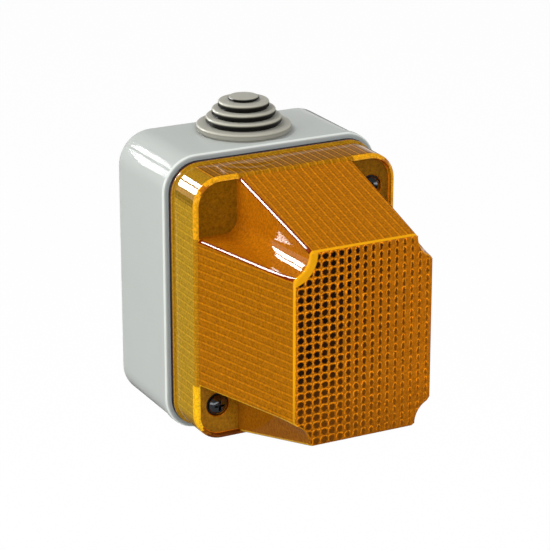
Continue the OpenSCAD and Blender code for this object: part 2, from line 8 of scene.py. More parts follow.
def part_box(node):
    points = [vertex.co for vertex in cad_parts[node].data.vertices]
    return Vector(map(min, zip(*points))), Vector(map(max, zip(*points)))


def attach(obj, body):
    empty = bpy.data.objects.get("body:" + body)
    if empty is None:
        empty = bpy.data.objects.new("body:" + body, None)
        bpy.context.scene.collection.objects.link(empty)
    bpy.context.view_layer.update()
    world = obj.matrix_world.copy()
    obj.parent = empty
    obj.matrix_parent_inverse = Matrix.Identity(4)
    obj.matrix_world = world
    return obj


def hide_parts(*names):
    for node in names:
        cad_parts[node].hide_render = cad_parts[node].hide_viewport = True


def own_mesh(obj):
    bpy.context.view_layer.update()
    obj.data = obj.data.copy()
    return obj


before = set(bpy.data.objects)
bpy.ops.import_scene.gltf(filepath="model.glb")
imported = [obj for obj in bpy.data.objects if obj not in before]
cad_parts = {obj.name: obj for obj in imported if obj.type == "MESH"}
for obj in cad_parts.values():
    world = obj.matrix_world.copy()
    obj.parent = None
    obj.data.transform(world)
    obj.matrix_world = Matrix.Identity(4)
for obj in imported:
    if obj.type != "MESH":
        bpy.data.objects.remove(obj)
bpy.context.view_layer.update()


# ---- View and light
# The light hangs in front of a plain white studio. It is seen from the upper left with a long lens, and a
# window of two panes, high up behind its left shoulder, draws the paired streaks on every moulded corner.
MM = 0.001
box_low, box_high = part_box("housing")
BOX_W = (box_high.x - box_low.x) / MM
BOX_H = (box_high.z - box_low.z) / MM
BOX_D = -box_low.y / MM


def from_wall(x, up, out):
    """A point in the part's frame, given in mm as seen from the front, with its distance from the wall."""
    return Vector((x, -out, up)) * MM


def srgb(code):
    """Linear colour of an sRGB hex code."""
    parts = [int(code[i:i + 2], 16) / 255 for i in (1, 3, 5)]
    return (*[p / 12.92 if p <= 0.04045 else ((p + 0.055) / 1.055) ** 2.4 for p in parts], 1.0)


def add(tree, kind, inputs=None, **settings):
    """Adds a node with its settings; each input takes a value or the socket that feeds it."""
    made = tree.nodes.new(kind)
    for name, value in settings.items():
        setattr(made, name, value)
    for name, value in (inputs or {}).items():
        if isinstance(value, bpy.types.NodeSocket):
            tree.links.new(value, made.inputs[name])
        else:
            made.inputs[name].default_value = value
    return made


def new_material(name):
    """An empty material and its tree."""
    made = bpy.data.materials.new(name)
    made.use_nodes = True
    made.node_tree.nodes.clear()
    return made, made.node_tree


scene = bpy.context.scene
scene.view_settings.view_transform = "Standard"

view_target = from_wall(1.1, 1.5, 31.0)
view_heading, view_height, view_distance = radians(-27.41), radians(19.58), 686.65 * MM
view_back = Vector((sin(view_heading) * cos(view_height), -cos(view_heading) * cos(view_height),
                    sin(view_height)))
camera = bpy.data.objects.new("camera", bpy.data.cameras.new("camera"))
camera.data.sensor_width = 36.0
camera.data.lens = 160.2
camera.location = view_target + view_back * view_distance
camera.rotation_euler = view_back.to_track_quat("Z", "Y").to_euler()
scene.collection.objects.link(camera)
scene.camera = camera


def area_light(name, place, towards, width, length, watts, across):
    """A rectangular lamp at place, its width lying along across."""
    lamp = bpy.data.lights.new(name, "AREA")
    lamp.shape = "RECTANGLE"
    lamp.size, lamp.size_y, lamp.energy = width, length, watts
    made = bpy.data.objects.new(name, lamp)
    forward = (towards - place).normalized()
    side = (across - across.dot(forward) * forward).normalized()
    up = (-forward).cross(side)
    turn = Matrix((side, up, -forward)).transposed().to_4x4()
    made.matrix_world = Matrix.Translation(place) @ turn
    scene.collection.objects.link(made)
    return made


def hide_from(lamp, diffuse=False, glossy=False):
    """Takes a lamp out of the matt light or out of the reflections."""
    lamp.visible_diffuse = not diffuse
    lamp.visible_glossy = not glossy


WINDOW_DISTANCE = 0.8
window_direction = Vector((-0.40, 0.836, 0.375)).normalized()
window_across = Vector((0, 1, 0)).cross(window_direction).normalized()
window_centre = from_wall(-20, 25, 25) + window_direction * WINDOW_DISTANCE
for pane, shift, width in (("upper", 0.080, 0.107), ("lower", -0.107, 0.16)):
    lamp = area_light("window_" + pane, window_centre + window_across * shift, from_wall(-20, 25, 25),
                      width, 0.3, 46.0 * width, window_across)
    hide_from(lamp, diffuse=True)
edge_direction = Vector((-0.535, 0.555, 0.635)).normalized()
lamp = area_light("skylight", from_wall(-20, 25, 60) + edge_direction * WINDOW_DISTANCE,
                  from_wall(-20, 25, 60),
                  0.16, 0.16, 3.6, Vector((0, 0, 1)))
hide_from(lamp, diffuse=True)
for name, place, size, watts in (("key", (-0.6, 0.35, 1.1), 0.7, 7.0),
                                 ("left_fill", (-1.2, -0.2, 0.15), 0.8, 6.0),
                                 ("front_fill", (-0.3, -1.4, 0.7), 0.8, 8.0),
                                 ("right_fill", (1.1, -0.8, 0.2), 0.8, 3.0)):
    hide_from(area_light(name, Vector(place), Vector((0, 0, 0)), size, size, watts, Vector((1, 0.3, 0))),
              glossy=True)

world = bpy.data.worlds.new("studio")
scene.world = world
world.use_nodes = True
sky = world.node_tree
sky.nodes.clear()
rays = add(sky, "ShaderNodeLightPath")
seen = add(sky, "ShaderNodeMath", {0: rays.outputs["Is Camera Ray"],
                                   1: rays.outputs["Is Transmission Ray"]}, operation="MAXIMUM")
# Reflections see the white backdrop up to a little over eye level, and above it a grey ceiling
height = add(sky, "ShaderNodeSeparateXYZ", {0: add(sky, "ShaderNodeTexCoord").outputs["Generated"]})
ceiling = add(sky, "ShaderNodeMapRange", {
    "Value": height.outputs["Z"], "From Min": 0.1, "From Max": 0.3, "To Min": 1.0, "To Max": 0.08})
room = add(sky, "ShaderNodeBackground", {"Color": srgb("#ffffff"), "Strength": 0.42})
backdrop = add(sky, "ShaderNodeBackground", {"Color": srgb("#ffffff"), "Strength": 1.0})
both = add(sky, "ShaderNodeMixShader", {0: seen.outputs[0], 1: room.outputs[0], 2: backdrop.outputs[0]})
mirrored = add(sky, "ShaderNodeMixShader", {0: ceiling.outputs[0], 2: backdrop.outputs[0]})
both = add(sky, "ShaderNodeMixShader", {0: rays.outputs["Is Glossy Ray"], 1: both.outputs[0],
                                        2: mirrored.outputs[0]})
add(sky, "ShaderNodeOutputWorld", {"Surface": both.outputs[0]})


def outward(mesh):
    """Turns every face of a closed mesh outwards."""
    work = bmesh.new()
    work.from_mesh(mesh)
    bmesh.ops.recalc_face_normals(work, faces=work.faces)
    work.to_mesh(mesh)
    work.free()


def solid(name, points, faces):
    """A mesh object from points in the part's frame."""
    mesh = bpy.data.meshes.new(name)
    mesh.from_pydata([tuple(p) for p in points], [], faces)
    outward(mesh)
    made = bpy.data.objects.new(name, mesh)
    scene.collection.objects.link(made)
    return made


floor_piece = solid("studio_floor", [Vector(p) for p in ((-4, -4, -0.3), (4, -4, -0.3), (4, 4, -0.3),
                                                         (-4, 4, -0.3))], [(0, 1, 2, 3)])
white_floor, tree = new_material("white paper floor")
paper = add(tree, "ShaderNodeBsdfDiffuse", {"Color": srgb("#c4c4c4")})
glow = add(tree, "ShaderNodeEmission", {"Color": srgb("#ffffff"), "Strength": 1.06})
rays = add(tree, "ShaderNodeLightPath")
half = add(tree, "ShaderNodeMath", {0: rays.outputs["Is Camera Ray"], 1: 0.9}, operation="MULTIPLY")
both = add(tree, "ShaderNodeMixShader", {0: half.outputs[0], 1: paper.outputs[0], 2: glow.outputs[0]})
# Reflections see the paper in the shade that falls in front of the light
shaded = add(tree, "ShaderNodeBsdfDiffuse", {"Color": srgb("#5c5c5c")})
both = add(tree, "ShaderNodeMixShader", {0: rays.outputs["Is Glossy Ray"], 1: both.outputs[0],
                                         2: shaded.outputs[0]})
add(tree, "ShaderNodeOutputMaterial", {"Surface": both.outputs[0]})
floor_piece.data.materials.append(white_floor)


# ---- Back box
# Injection-moulded box of light grey ASA, 2.2 mm thick, with a collar behind its open front edge, two
# bosses for the cover screws and two posts for the lampholder. Its polished mould leaves a satin gloss.
def filleted(corners, steps=6):
    """Polyline through (x, y, radius) corners, each inner corner rounded by its radius."""
    line = []
    for i, corner in enumerate(corners):
        here = Vector(corner[:2])
        radius = corner[2] if len(corner) > 2 else 0
        if not radius or i in (0, len(corners) - 1):
            line.append((here.x, here.y))
            continue
        before = (Vector(corners[i - 1][:2]) - here).normalized()
        after = (Vector(corners[i + 1][:2]) - here).normalized()
        half_angle = acos(max(-1, min(1, before.dot(after)))) / 2
        reach = radius / tan(half_angle)
        centre = here + (before + after).normalized() * radius / sin(half_angle)
        start, end = here + before * reach - centre, here + after * reach - centre
        turn = atan2(start.x * end.y - start.y * end.x, start.dot(end))
        for k in range(steps + 1):
            a = turn * k / steps
            line.append((centre.x + start.x * cos(a) - start.y * sin(a),
                         centre.y + start.x * sin(a) + start.y * cos(a)))
    return line


def four_quarters(quarter):
    """Closed outline from its first quarter, which runs from the top middle to the right middle."""
    top_right = list(quarter)
    low_right = [(x, -y) for x, y in reversed(quarter)]
    low_left = [(-x, -y) for x, y in quarter]
    top_left = [(-x, y) for x, y in reversed(quarter)]
    return top_right + low_right[1:] + low_left[1:] + top_left[1:-1]


def round_rect(w, h, r, steps=12, ties=()):
    """Closed outline of a rectangle with round corners; ties are extra points on its straight sides."""
    corner = [(w / 2 - r + r * sin(pi / 2 * k / steps),
               h / 2 - r + r * cos(pi / 2 * k / steps)) for k in range(steps + 1)]
    above = [(ties[0], h / 2)] if ties else []
    beside = [(w / 2, ties[1])] if ties else []
    return four_quarters([(0, h / 2)] + above + corner + beside + [(w / 2, 0)])


def loft(name, sections):
    """Closed solid through (distance from wall, outline) sections, lowest first."""
    count = len(sections[0][1])
    points = [from_wall(x, up, out) for out, outline in sections for x, up in outline]
    faces = [(s * count + i, s * count + (i + 1) % count, (s + 1) * count + (i + 1) % count,
              (s + 1) * count + i)
             for s in range(len(sections) - 1) for i in range(count)]
    faces += [tuple(range(count)), tuple(range((len(sections) - 1) * count, len(sections) * count))]
    return solid(name, points, faces)


def soft_block(name, w, h, r, profile, ties=()):
    """Block with round upright corners; profile is a list of (distance from wall, inset)."""
    return loft(name, [(out, round_rect(w - 2 * inset, h - 2 * inset,
                                        r - inset, ties=ties)) for out, inset in profile])


def quarter_round(out, radius, rising, steps=6):
    """Profile of an edge rounding that ends flush at out: rising at the back edge, falling at the front."""
    line = []
    for k in range(steps + 1):
        a = pi / 2 * k / steps
        if rising:
            line.append((out + radius * (1 - cos(a)), radius * (1 - sin(a))))
        else:
            line.append((out - radius * (1 - sin(a)), radius * (1 - cos(a))))
    return line


def turned(name, profile, foot, along, steps=64):
    """Solid of revolution from a closed profile of (radius, height) in mm, set up at foot."""
    along = Vector(along).normalized()
    side = along.orthogonal().normalized()
    other = along.cross(side)
    points, rings = [], []
    for radius, height in profile:
        centre = Vector(foot) + along * height * MM
        if radius < 1e-6:
            rings.append([len(points)] * steps)
            points.append(centre)
            continue
        rings.append(list(range(len(points), len(points) + steps)))
        turns = [2 * pi * k / steps for k in range(steps)]
        points += [centre + (side * cos(a) + other * sin(a)) * radius * MM for a in turns]
    closed = profile[0][0] > 1e-6
    faces = []
    for a, b in zip(rings, rings[1:] + ([rings[0]] if closed else [])):
        for k in range(steps):
            face = []
            for corner in (a[k], a[(k + 1) % steps], b[(k + 1) % steps], b[k]):
                if corner not in face:
                    face.append(corner)
            if len(face) > 2:
                faces.append(tuple(face))
    return solid(name, points, faces)


def carve(base, joined=(), cut=()):
    """Joins solids to base, then cuts others from it, and leaves one plain mesh."""
    for operation, tools in (("UNION", joined), ("DIFFERENCE", cut)):
        for tool in tools:
            step = base.modifiers.new("carve", "BOOLEAN")
            step.operation, step.solver, step.object = operation, "MANIFOLD", tool
            graph = bpy.context.evaluated_depsgraph_get()
            shape = bpy.data.meshes.new_from_object(base.evaluated_get(graph))
            base.modifiers.clear()
            old, base.data = base.data, shape
            bpy.data.meshes.remove(old)
            bpy.data.objects.remove(tool)
    base.data.name = base.name
    return base


def finish_piece(piece, body, material, nodes=(), smooth=35):
    """Shades a piece, gives it its material, ties it to its body and hides its CAD nodes."""
    if smooth:
        piece.data.shade_smooth()
        piece.data.set_sharp_from_angle(angle=radians(smooth))
    piece.data.materials.clear()
    piece.data.materials.append(material)
    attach(piece, body)
    if nodes:
        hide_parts(*nodes)
    return piece


def dress(material, *names):
    """Gives carried-over CAD nodes their material."""
    for name in names:
        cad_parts[name].data.materials.clear()
        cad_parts[name].data.materials.append(material)


def moulded(name, colour, roughness, speckle, grain_mm, grain_depth, gloss_level=0.5):
    """Moulded plastic: one colour that drifts a little, and the fine unevenness of the mould's wall."""
    made, tree = new_material(name)
    place = add(tree, "ShaderNodeTexCoord").outputs["Object"]
    drift = add(tree, "ShaderNodeTexNoise", {"Vector": place, "Scale": 60.0, "Detail": 3.0})
    shade = add(tree, "ShaderNodeMapRange", {"Value": drift.outputs[0], "To Min": 1 - speckle,
                                             "To Max": 1 + speckle})
    tint = add(tree, "ShaderNodeVectorMath", {0: srgb(colour)[:3], "Scale": shade.outputs[0]},
               operation="SCALE")
    grain = add(tree, "ShaderNodeTexNoise", {"Vector": place, "Scale": 1 / (grain_mm * MM), "Detail": 2.0})
    bump = add(tree, "ShaderNodeBump", {"Height": grain.outputs[0], "Distance": grain_depth * MM,
                                        "Strength": 1.0})
    gloss = add(tree, "ShaderNodeMapRange", {"Value": grain.outputs[0], "To Min": roughness * 0.85,
                                             "To Max": roughness * 1.15})
    surface = add(tree, "ShaderNodeBsdfPrincipled", {
        "Base Color": tint.outputs[0], "Roughness": gloss.outputs[0], "IOR": 1.5,
        "Specular IOR Level": gloss_level,
        "Normal": bump.outputs[0]})
    add(tree, "ShaderNodeOutputMaterial", {"Surface": surface.outputs[0]})
    return made


grey_asa = moulded("grey asa moulding", "#c1c5c1", 0.07, 0.02, 0.5, 0.002, 0.012)
tree = grey_asa.node_tree
shell = next(node for node in tree.nodes if node.type == "BSDF_PRINCIPLED")
plain = shell.inputs["Base Color"].links[0].from_socket
# A painted highlight lightens the rounded front edge of the collar; painted shade darkens the flat rim
# inside it, where the cover's shade falls
place = add(tree, "ShaderNodeTexCoord").outputs
depth = add(tree, "ShaderNodeSeparateXYZ", {0: place["Object"]}).outputs["Y"]
front = add(tree, "ShaderNodeMapRange", {"Value": depth, "From Min": (1.1 - BOX_D) * MM,
                                         "From Max": (0.8 - BOX_D) * MM})
turned_out = add(tree, "ShaderNodeSeparateXYZ", {0: place["Normal"]}).outputs["Y"]
painted_rim_light = add(tree, "ShaderNodeValToRGB", {0: add(tree, "ShaderNodeMath", {0: turned_out, 1: -1.0},
                                                    operation="MULTIPLY").outputs[0]})
for spot, grey in ((0.12, 1.0), (0.25, 1.4), (0.7, 1.4), (0.85, 0.85)):
    painted_rim_light.color_ramp.elements.new(spot).color = (grey, grey, grey, 1)
painted_rim_light.color_ramp.elements[0].color = (1, 1, 1, 1)
painted_rim_light.color_ramp.elements[-1].color = (0.68, 0.71, 0.74, 1)
shaded = add(tree, "ShaderNodeVectorMath", {0: plain, 1: painted_rim_light.outputs[0]}, operation="MULTIPLY")
both = add(tree, "ShaderNodeMix", {"Factor": front.outputs[0], "A": plain, "B": shaded.outputs[0]},
           data_type="VECTOR")
tree.links.new(both.outputs["Result"], shell.inputs["Base Color"])

COLLAR_STEP, COLLAR_D, BODY_R, WALL = 0.3, 3.0, 9.7, 2.2
body_w, body_h = BOX_W - 2 * COLLAR_STEP, BOX_H - 2 * COLLAR_STEP
SEAM = 0.4
box_profile = quarter_round(0, 1.2, True)
box_profile += [(BOX_D - COLLAR_D - SEAM, 0), (BOX_D - COLLAR_D - SEAM / 2, 0.35), (BOX_D - COLLAR_D, 0.05),
                (BOX_D - COLLAR_D + 0.12, -COLLAR_STEP)]
box_profile += [(out, inset - COLLAR_STEP) for out, inset in quarter_round(BOX_D, 1.0, False)]
back_box = soft_block("back_box", body_w, body_h, BODY_R, box_profile)
HOLLOW_W, HOLLOW_H, HOLLOW_R = body_w - 2 * WALL, body_h - 2 * WALL, BODY_R - WALL
hollow = soft_block("box_hollow", HOLLOW_W, HOLLOW_H, HOLLOW_R,
                    [(WALL, 0.8), (WALL + 0.25, 0.25), (WALL + 0.8, 0), (BOX_D + 2, 0)])
carve(back_box, cut=[hollow])

SCREW_X, SCREW_UP, BOSS_TOP, BOSS_R = 23.7, 28.0, BOX_D - 3, 4.5
POST_UP, FIXING_UP, ENTRY_OUT, ENTRY_R = 17.0, 30.0, 14.0, 10.25
OUT = Vector((0, -1, 0))
bosses, holes = [], []
for side in (1, -1):
    x, up = side * SCREW_X, side * SCREW_UP
    bosses.append(turned("boss", [(0, 0), (BOSS_R + 0.8, 0), (BOSS_R, 0.8), (BOSS_R, BOSS_TOP - 2),
                                  (0, BOSS_TOP - 2)], from_wall(x, up, 2), OUT))
    web_x, web_up = sorted((x, side * (HOLLOW_W / 2 + 1))), sorted((up, side * (HOLLOW_H / 2 + 1)))
    for low_x, high_x, low_up, high_up in ((*web_x, up - 1, up + 1), (x - 1, x + 1, *web_up)):
        outline = [(low_x, low_up), (high_x, low_up), (high_x, high_up), (low_x, high_up)]
        bosses.append(loft("web", [(2, outline), (BOSS_TOP - 3, outline)]))
    holes.append(turned("hole", [(0, 0), (2.35, 0), (2.35, 20), (0, 20)], from_wall(x, up, BOSS_TOP - 12),
                        OUT))
for side in (1, -1):
    bosses.append(turned("post", [(0, 0), (4.1, 0), (3.5, 0.6), (3.5, 5), (0, 5)],
                         from_wall(0, side * POST_UP, 2), OUT))
    holes.append(turned("hole", [(0, 0), (1.55, 0), (1.55, 8), (0, 8)], from_wall(0, side * POST_UP, WALL),
                        OUT))
    bosses.append(turned("pad", [(0, 0), (4.75, 0), (4.75, 1.2), (4.45, 1.4), (0, 1.4)],
                         from_wall(0, side * FIXING_UP, 2), OUT))
    holes.append(turned("hole", [(0, 0), (2.25, 0), (2.25, 8), (0, 8)], from_wall(0, side * FIXING_UP, -1),
                        OUT))
bosses.append(turned("post", [(0, 0), (3, 0), (3, 3), (0, 3)], from_wall(23, 0, 2), OUT))
holes.append(turned("hole", [(0, 0), (1.25, 0), (1.25, 8), (0, 8)], from_wall(23, 0, WALL), OUT))
holes.append(turned("entry", [(0, 0), (ENTRY_R, 0), (ENTRY_R, 6), (0, 6)],
                    from_wall(0, HOLLOW_H / 2 - 1, ENTRY_OUT), (0, 0, 1)))
holes.append(turned("knock_out", [(ENTRY_R - 0.8, 0), (ENTRY_R, 0), (ENTRY_R, 0.73), (ENTRY_R - 0.8, 0.73)],
                    from_wall(0, -body_h / 2, ENTRY_OUT), (0, 0, 1)))
carve(back_box, joined=bosses, cut=holes)
finish_piece(back_box, "box", grey_asa, ["housing"])


# ---- Screw inserts
# Two brass inserts, turned on an automatic lathe and pressed into the bosses while the plastic is warm.
# They keep the pale yellow of bare brass, with fine turning rings.
def metal(name, colour, roughness, grain_mm, streak, tarnish):
    """Bare metal: fine tool marks along the wall axis and a slow drift towards a duller shade."""
    made, tree = new_material(name)
    place = add(tree, "ShaderNodeTexCoord").outputs["Object"]
    along = add(tree, "ShaderNodeMapping", {"Vector": place, "Scale": (1.0, streak, 1.0)})
    marks = add(tree, "ShaderNodeTexNoise", {"Vector": along.outputs[0], "Scale": 1 / (grain_mm * MM),
                                             "Detail": 2.0})
    patches = add(tree, "ShaderNodeTexNoise", {"Vector": place, "Scale": 220.0, "Detail": 3.0})
    dull = add(tree, "ShaderNodeMapRange", {"Value": patches.outputs[0], "From Min": 0.35, "From Max": 0.75,
                                            "To Max": tarnish})
    tint = add(tree, "ShaderNodeMix", {"Factor": dull.outputs[0]}, data_type="RGBA")
    tint.inputs["A"].default_value = srgb(colour)
    tint.inputs["B"].default_value = [0.35 * part for part in srgb(colour)[:3]] + [1.0]
    gloss = add(tree, "ShaderNodeMapRange", {"Value": marks.outputs[0], "To Min": roughness * 0.7,
                                             "To Max": roughness * 1.3})
    bump = add(tree, "ShaderNodeBump", {"Height": marks.outputs[0], "Distance": 0.004 * MM})
    surface = add(tree, "ShaderNodeBsdfPrincipled", {
        "Base Color": tint.outputs["Result"], "Metallic": 1.0, "Roughness": gloss.outputs[0],
        "Normal": bump.outputs[0]})
    add(tree, "ShaderNodeOutputMaterial", {"Surface": surface.outputs[0]})
    return made


turned_brass = metal("turned brass", "#d9bb72", 0.28, 0.15, 0.2, 0.35)
dress(turned_brass, "boss_inserts")


# ---- Cable gland
# Stepped grommet moulded in grey rubber and pressed into the entry hole: rounded steps outside, each with
# a groove at its foot where it is cut off to suit the cable, thin steps inside and a lip under the wall.
STEP_R, STEP_H, STEP_ROUND, GROOVE, TOP_H = (13.4, 10.7, 9.0, 7.2, 4.4), 2.2, 0.6, 0.6, 1.1
RUBBER_T, THROAT_R, LIP_R, LIP_DOWN = 1.2, ENTRY_R - 0.05, ENTRY_R + 1.05, 5.2
profile = [(0, 4 * STEP_H + TOP_H)]
for i in range(len(STEP_R) - 1, -1, -1):
    foot = i * STEP_H
    top = foot + (STEP_H if i < len(STEP_R) - 1 else TOP_H)
    profile += [(STEP_R[i], top, STEP_ROUND), (STEP_R[i], foot + GROOVE, 0.12 if i else 0),
                (STEP_R[i] - GROOVE, foot + GROOVE)]
    profile += [(STEP_R[i] - GROOVE, foot)]
profile = filleted(profile, 5)
profile += [(THROAT_R, 0), (THROAT_R, -WALL), (LIP_R, -WALL - 0.2), (THROAT_R - 0.2, -LIP_DOWN)]
profile += [(THROAT_R - 1.8, -LIP_DOWN), (THROAT_R - 1.8, -WALL)]
for i in range(1, len(STEP_R)):
    inner, top = STEP_R[i] - RUBBER_T, i * STEP_H - RUBBER_T
    profile += [(inner, top - STEP_H if i > 1 else -WALL), (inner, top)]
profile += [(0, profile[-1][1])]
cable_gland = turned("stepped_gland", profile, from_wall(0, body_h / 2, ENTRY_OUT), (0, 0, 1), 96)
grey_rubber = moulded("grey epdm rubber", "#b2b0a4", 0.4, 0.04, 0.4, 0.006, 0.15)
tree = grey_rubber.node_tree
rubber = next(node for node in tree.nodes if node.type == "BSDF_PRINCIPLED")
plain_rubber = rubber.inputs["Base Color"].links[0].from_socket
# Painted shade darkens the upright sides, most in the groove at the foot of each step, and a painted
# highlight lightens their upper edge
place = add(tree, "ShaderNodeTexCoord").outputs
level = add(tree, "ShaderNodeSeparateXYZ", {0: place["Object"]}).outputs["Z"]
level = add(tree, "ShaderNodeMath", {0: level, 1: body_h / 2 * MM}, operation="SUBTRACT")
level = add(tree, "ShaderNodeMath", {0: level.outputs[0], 1: STEP_H * MM}, operation="DIVIDE")
level = add(tree, "ShaderNodeMath", {0: level.outputs[0]}, operation="FRACT")
shade = add(tree, "ShaderNodeValToRGB", {0: level.outputs[0]})
for spot, grey in ((0.27, 0.003), (0.45, 0.008), (0.6, 0.03), (0.7, 0.25), (0.8, 1.0)):
    shade.color_ramp.elements.new(spot).color = (grey, grey, grey * 0.94, 1)
shade.color_ramp.elements[0].color = (0.02, 0.02, 0.018, 1)
shade.color_ramp.elements[-1].color = (1.35, 1.35, 1.3, 1)
facing = add(tree, "ShaderNodeSeparateXYZ", {0: place["Normal"]}).outputs["Z"]
upright = add(tree, "ShaderNodeMapRange", {"Value": facing, "From Min": 0.5, "From Max": 0.95,
                                           "To Min": 1.0, "To Max": 0.0})
foot = add(tree, "ShaderNodeSeparateXYZ", {0: place["Object"]}).outputs["Z"]
foot = add(tree, "ShaderNodeMapRange", {"Value": foot, "From Min": (body_h / 2 + 1.3) * MM,
                                        "From Max": (body_h / 2 + 2.0) * MM, "To Min": 0.3, "To Max": 1.0})
upright = add(tree, "ShaderNodeMath", {0: upright.outputs[0], 1: foot.outputs[0]}, operation="MULTIPLY")
painted_step_light = add(tree, "ShaderNodeVectorMath", {0: plain_rubber, 1: shade.outputs[0]}, operation="MULTIPLY")
both = add(tree, "ShaderNodeMix", {"Factor": upright.outputs[0], "A": plain_rubber, "B": painted_step_light.outputs[0]},
           data_type="VECTOR")
tree.links.new(both.outputs["Result"], rubber.inputs["Base Color"])
finish_piece(cable_gland, "box", grey_rubber, ["cable_gland"], 40)


# ---- Seal
# One black rubber ring between box and cover: a flat band that the cover's flange squeezes, with a round
# edge, and a tongue that locates it inside the box. Smooth EPDM, which shines a little where it bulges.
SEAL_OUT, SEAL_T, SEAL_INSET = BOX_D, 0.8, 1.5
seal_w, seal_h, seal_r = BOX_W - 2 * SEAL_INSET, BOX_H - 2 * SEAL_INSET, BODY_R + COLLAR_STEP - SEAL_INSET
band = quarter_round(0, 0.3, True, 4) + quarter_round(SEAL_T, 0.3, False, 4)
band = [(out + SEAL_OUT, inset) for out, inset in band]
seal = soft_block("seal_band", seal_w, seal_h, seal_r, band)
tongue = soft_block("tongue", HOLLOW_W - 0.1, HOLLOW_H - 0.1, HOLLOW_R,
                    [(SEAL_OUT - 1.7, 0.25), (SEAL_OUT - 1.4, 0), (SEAL_OUT + 0.8, 0)])
seal_hole = soft_block("hole", HOLLOW_W - 2.4, HOLLOW_H - 2.4, HOLLOW_R - 1.2,
                       [(SEAL_OUT - 3, 0), (SEAL_OUT + 3, 0)])
carve(seal, joined=[tongue], cut=[seal_hole])
black_rubber = moulded("black epdm rubber", "#1b1c1f", 0.3, 0.05, 0.4, 0.004)
finish_piece(seal, "box", black_rubber, ["seal_ring"], 40)


# ---- Amber cover
# One deep injection moulding in clear amber polycarbonate, polished outside. A cross-shaped tower stands
# on a straight skirt with four corner pockets. Pyramids inside the front and ribs inside the walls break up
# the lamp's light. Those of the front and the arms' ends are cut here; the rest are in the material.
COVER_T, FLANGE_OUT, FLANGE_T, FLANGE_INSET = 2.2, SEAL_OUT + SEAL_T, 1.4, 1.6
SKIRT_INSET, LEDGE_OUT, LEDGE_ROUND, POCKET_D, LIP_T = 2.2, 46.0, 1.2, 1.3, 1.25
FLOOR_OUT, LIP_BAND = LEDGE_OUT - POCKET_D, 2.4
FRONT_OUT = -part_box("cover")[0].y / MM
skirt_w, skirt_h = BOX_W - 2 * SKIRT_INSET, BOX_H - 2 * SKIRT_INSET
skirt_r = BODY_R + COLLAR_STEP - SKIRT_INSET
flange_w, flange_h = BOX_W - 2 * FLANGE_INSET, BOX_H - 2 * FLANGE_INSET
flange_r = BODY_R + COLLAR_STEP - FLANGE_INSET
FACE_W, FACE_H, ARM_INSET = 41.0, 54.0, 0.9
ARM_W_ROOT, ARM_W_TIP, ARM_H_ROOT, ARM_H_TIP = 35.2, 32.0, 42.6, 40.2
SCOOP_ROOT, SCOOP_TIP, CORNER = 3.8, 6.4, 0.8


def between(out, at_root, at_front, root=FLOOR_OUT):
    """Value at a distance from the wall, on the straight line from the root to the front."""
    return at_root + (at_front - at_root) * (out - root) / (FRONT_OUT - root)


def eased(start, corner, end):
    """Points of a narrow, slightly crowned bevel from start to end, in front of the corner they cut off."""
    peak = [0.4 * (s + e) + 0.2 * c for s, c, e in zip(start, corner, end)]
    points = []
    for t in (0.0, 0.25, 0.5, 0.75, 1.0):
        points.append(tuple((1 - t) ** 2 * s + 2 * t * (1 - t) * p + t * t * e
                            for s, p, e in zip(start, peak, end)))
    return points


def tower_outline(out, inset=0.0):
    """Cross outline of the tower at a distance from the wall, set in all round."""
    w = between(out, skirt_w / 2 - ARM_INSET, FACE_W / 2, LEDGE_OUT) - inset
    h = between(out, skirt_h / 2 - ARM_INSET, FACE_H / 2, LEDGE_OUT) - inset
    a = between(out, ARM_W_ROOT, ARM_W_TIP) / 2 - inset
    b = between(out, ARM_H_ROOT, ARM_H_TIP) / 2 - inset
    r = between(out, SCOOP_ROOT, SCOOP_TIP) + inset
    cx, cy = a + r, b + r
    end_x = w - CORNER
    whole = cx < end_x
    turn = pi / 2 if whole else acos((cx - end_x) / r)
    steps = 15 if whole else 16
    arc = [(cx - r * cos(turn * k / steps), cy - r * sin(turn * k / steps)) for k in range(steps + 1)]
    last = (end_x, b) if whole else arc.pop()
    low = cy - sqrt(r * r - max(0, cx - w) ** 2)
    quarter = [(0, h)] + eased((a - CORNER, h), (a, h), (a, h - CORNER)) + arc
    quarter += eased(last, (w, low), (w, low - CORNER)) + [(w, 0)]
    return four_quarters(quarter)


flange_front, skirt_step = FLANGE_OUT + FLANGE_T, SKIRT_INSET - FLANGE_INSET
cover_profile = [(FLANGE_OUT, 0.15), (FLANGE_OUT + 0.15, 0), (FLANGE_OUT + 0.7, 0),
                 (flange_front - 0.4, 0), (flange_front - 0.1, 0.12), (flange_front, 0.4),
                 (flange_front + 0.05, skirt_step - 0.15), (flange_front + 0.3, skirt_step),
                 (LEDGE_OUT - LIP_BAND, skirt_step)]
cover_profile += [(out, inset + SKIRT_INSET - FLANGE_INSET)
                  for out, inset in quarter_round(LEDGE_OUT, LEDGE_ROUND, False, 8)]
ARM_ENDS = (ARM_W_ROOT / 2, ARM_H_ROOT / 2)
amber_cover = soft_block("amber_cover_moulding", flange_w, flange_h, flange_r, cover_profile, ARM_ENDS)
pocket = soft_block("pocket", skirt_w - 2 * LIP_T, skirt_h - 2 * LIP_T, skirt_r - LIP_T,
                    [(FLOOR_OUT, 0.3), (FLOOR_OUT + 0.1, 0.1), (FLOOR_OUT + 0.3, 0), (LEDGE_OUT - 0.3, 0),
                     (LEDGE_OUT + 0.3, -0.15)], ARM_ENDS)
carve(amber_cover, cut=[pocket])

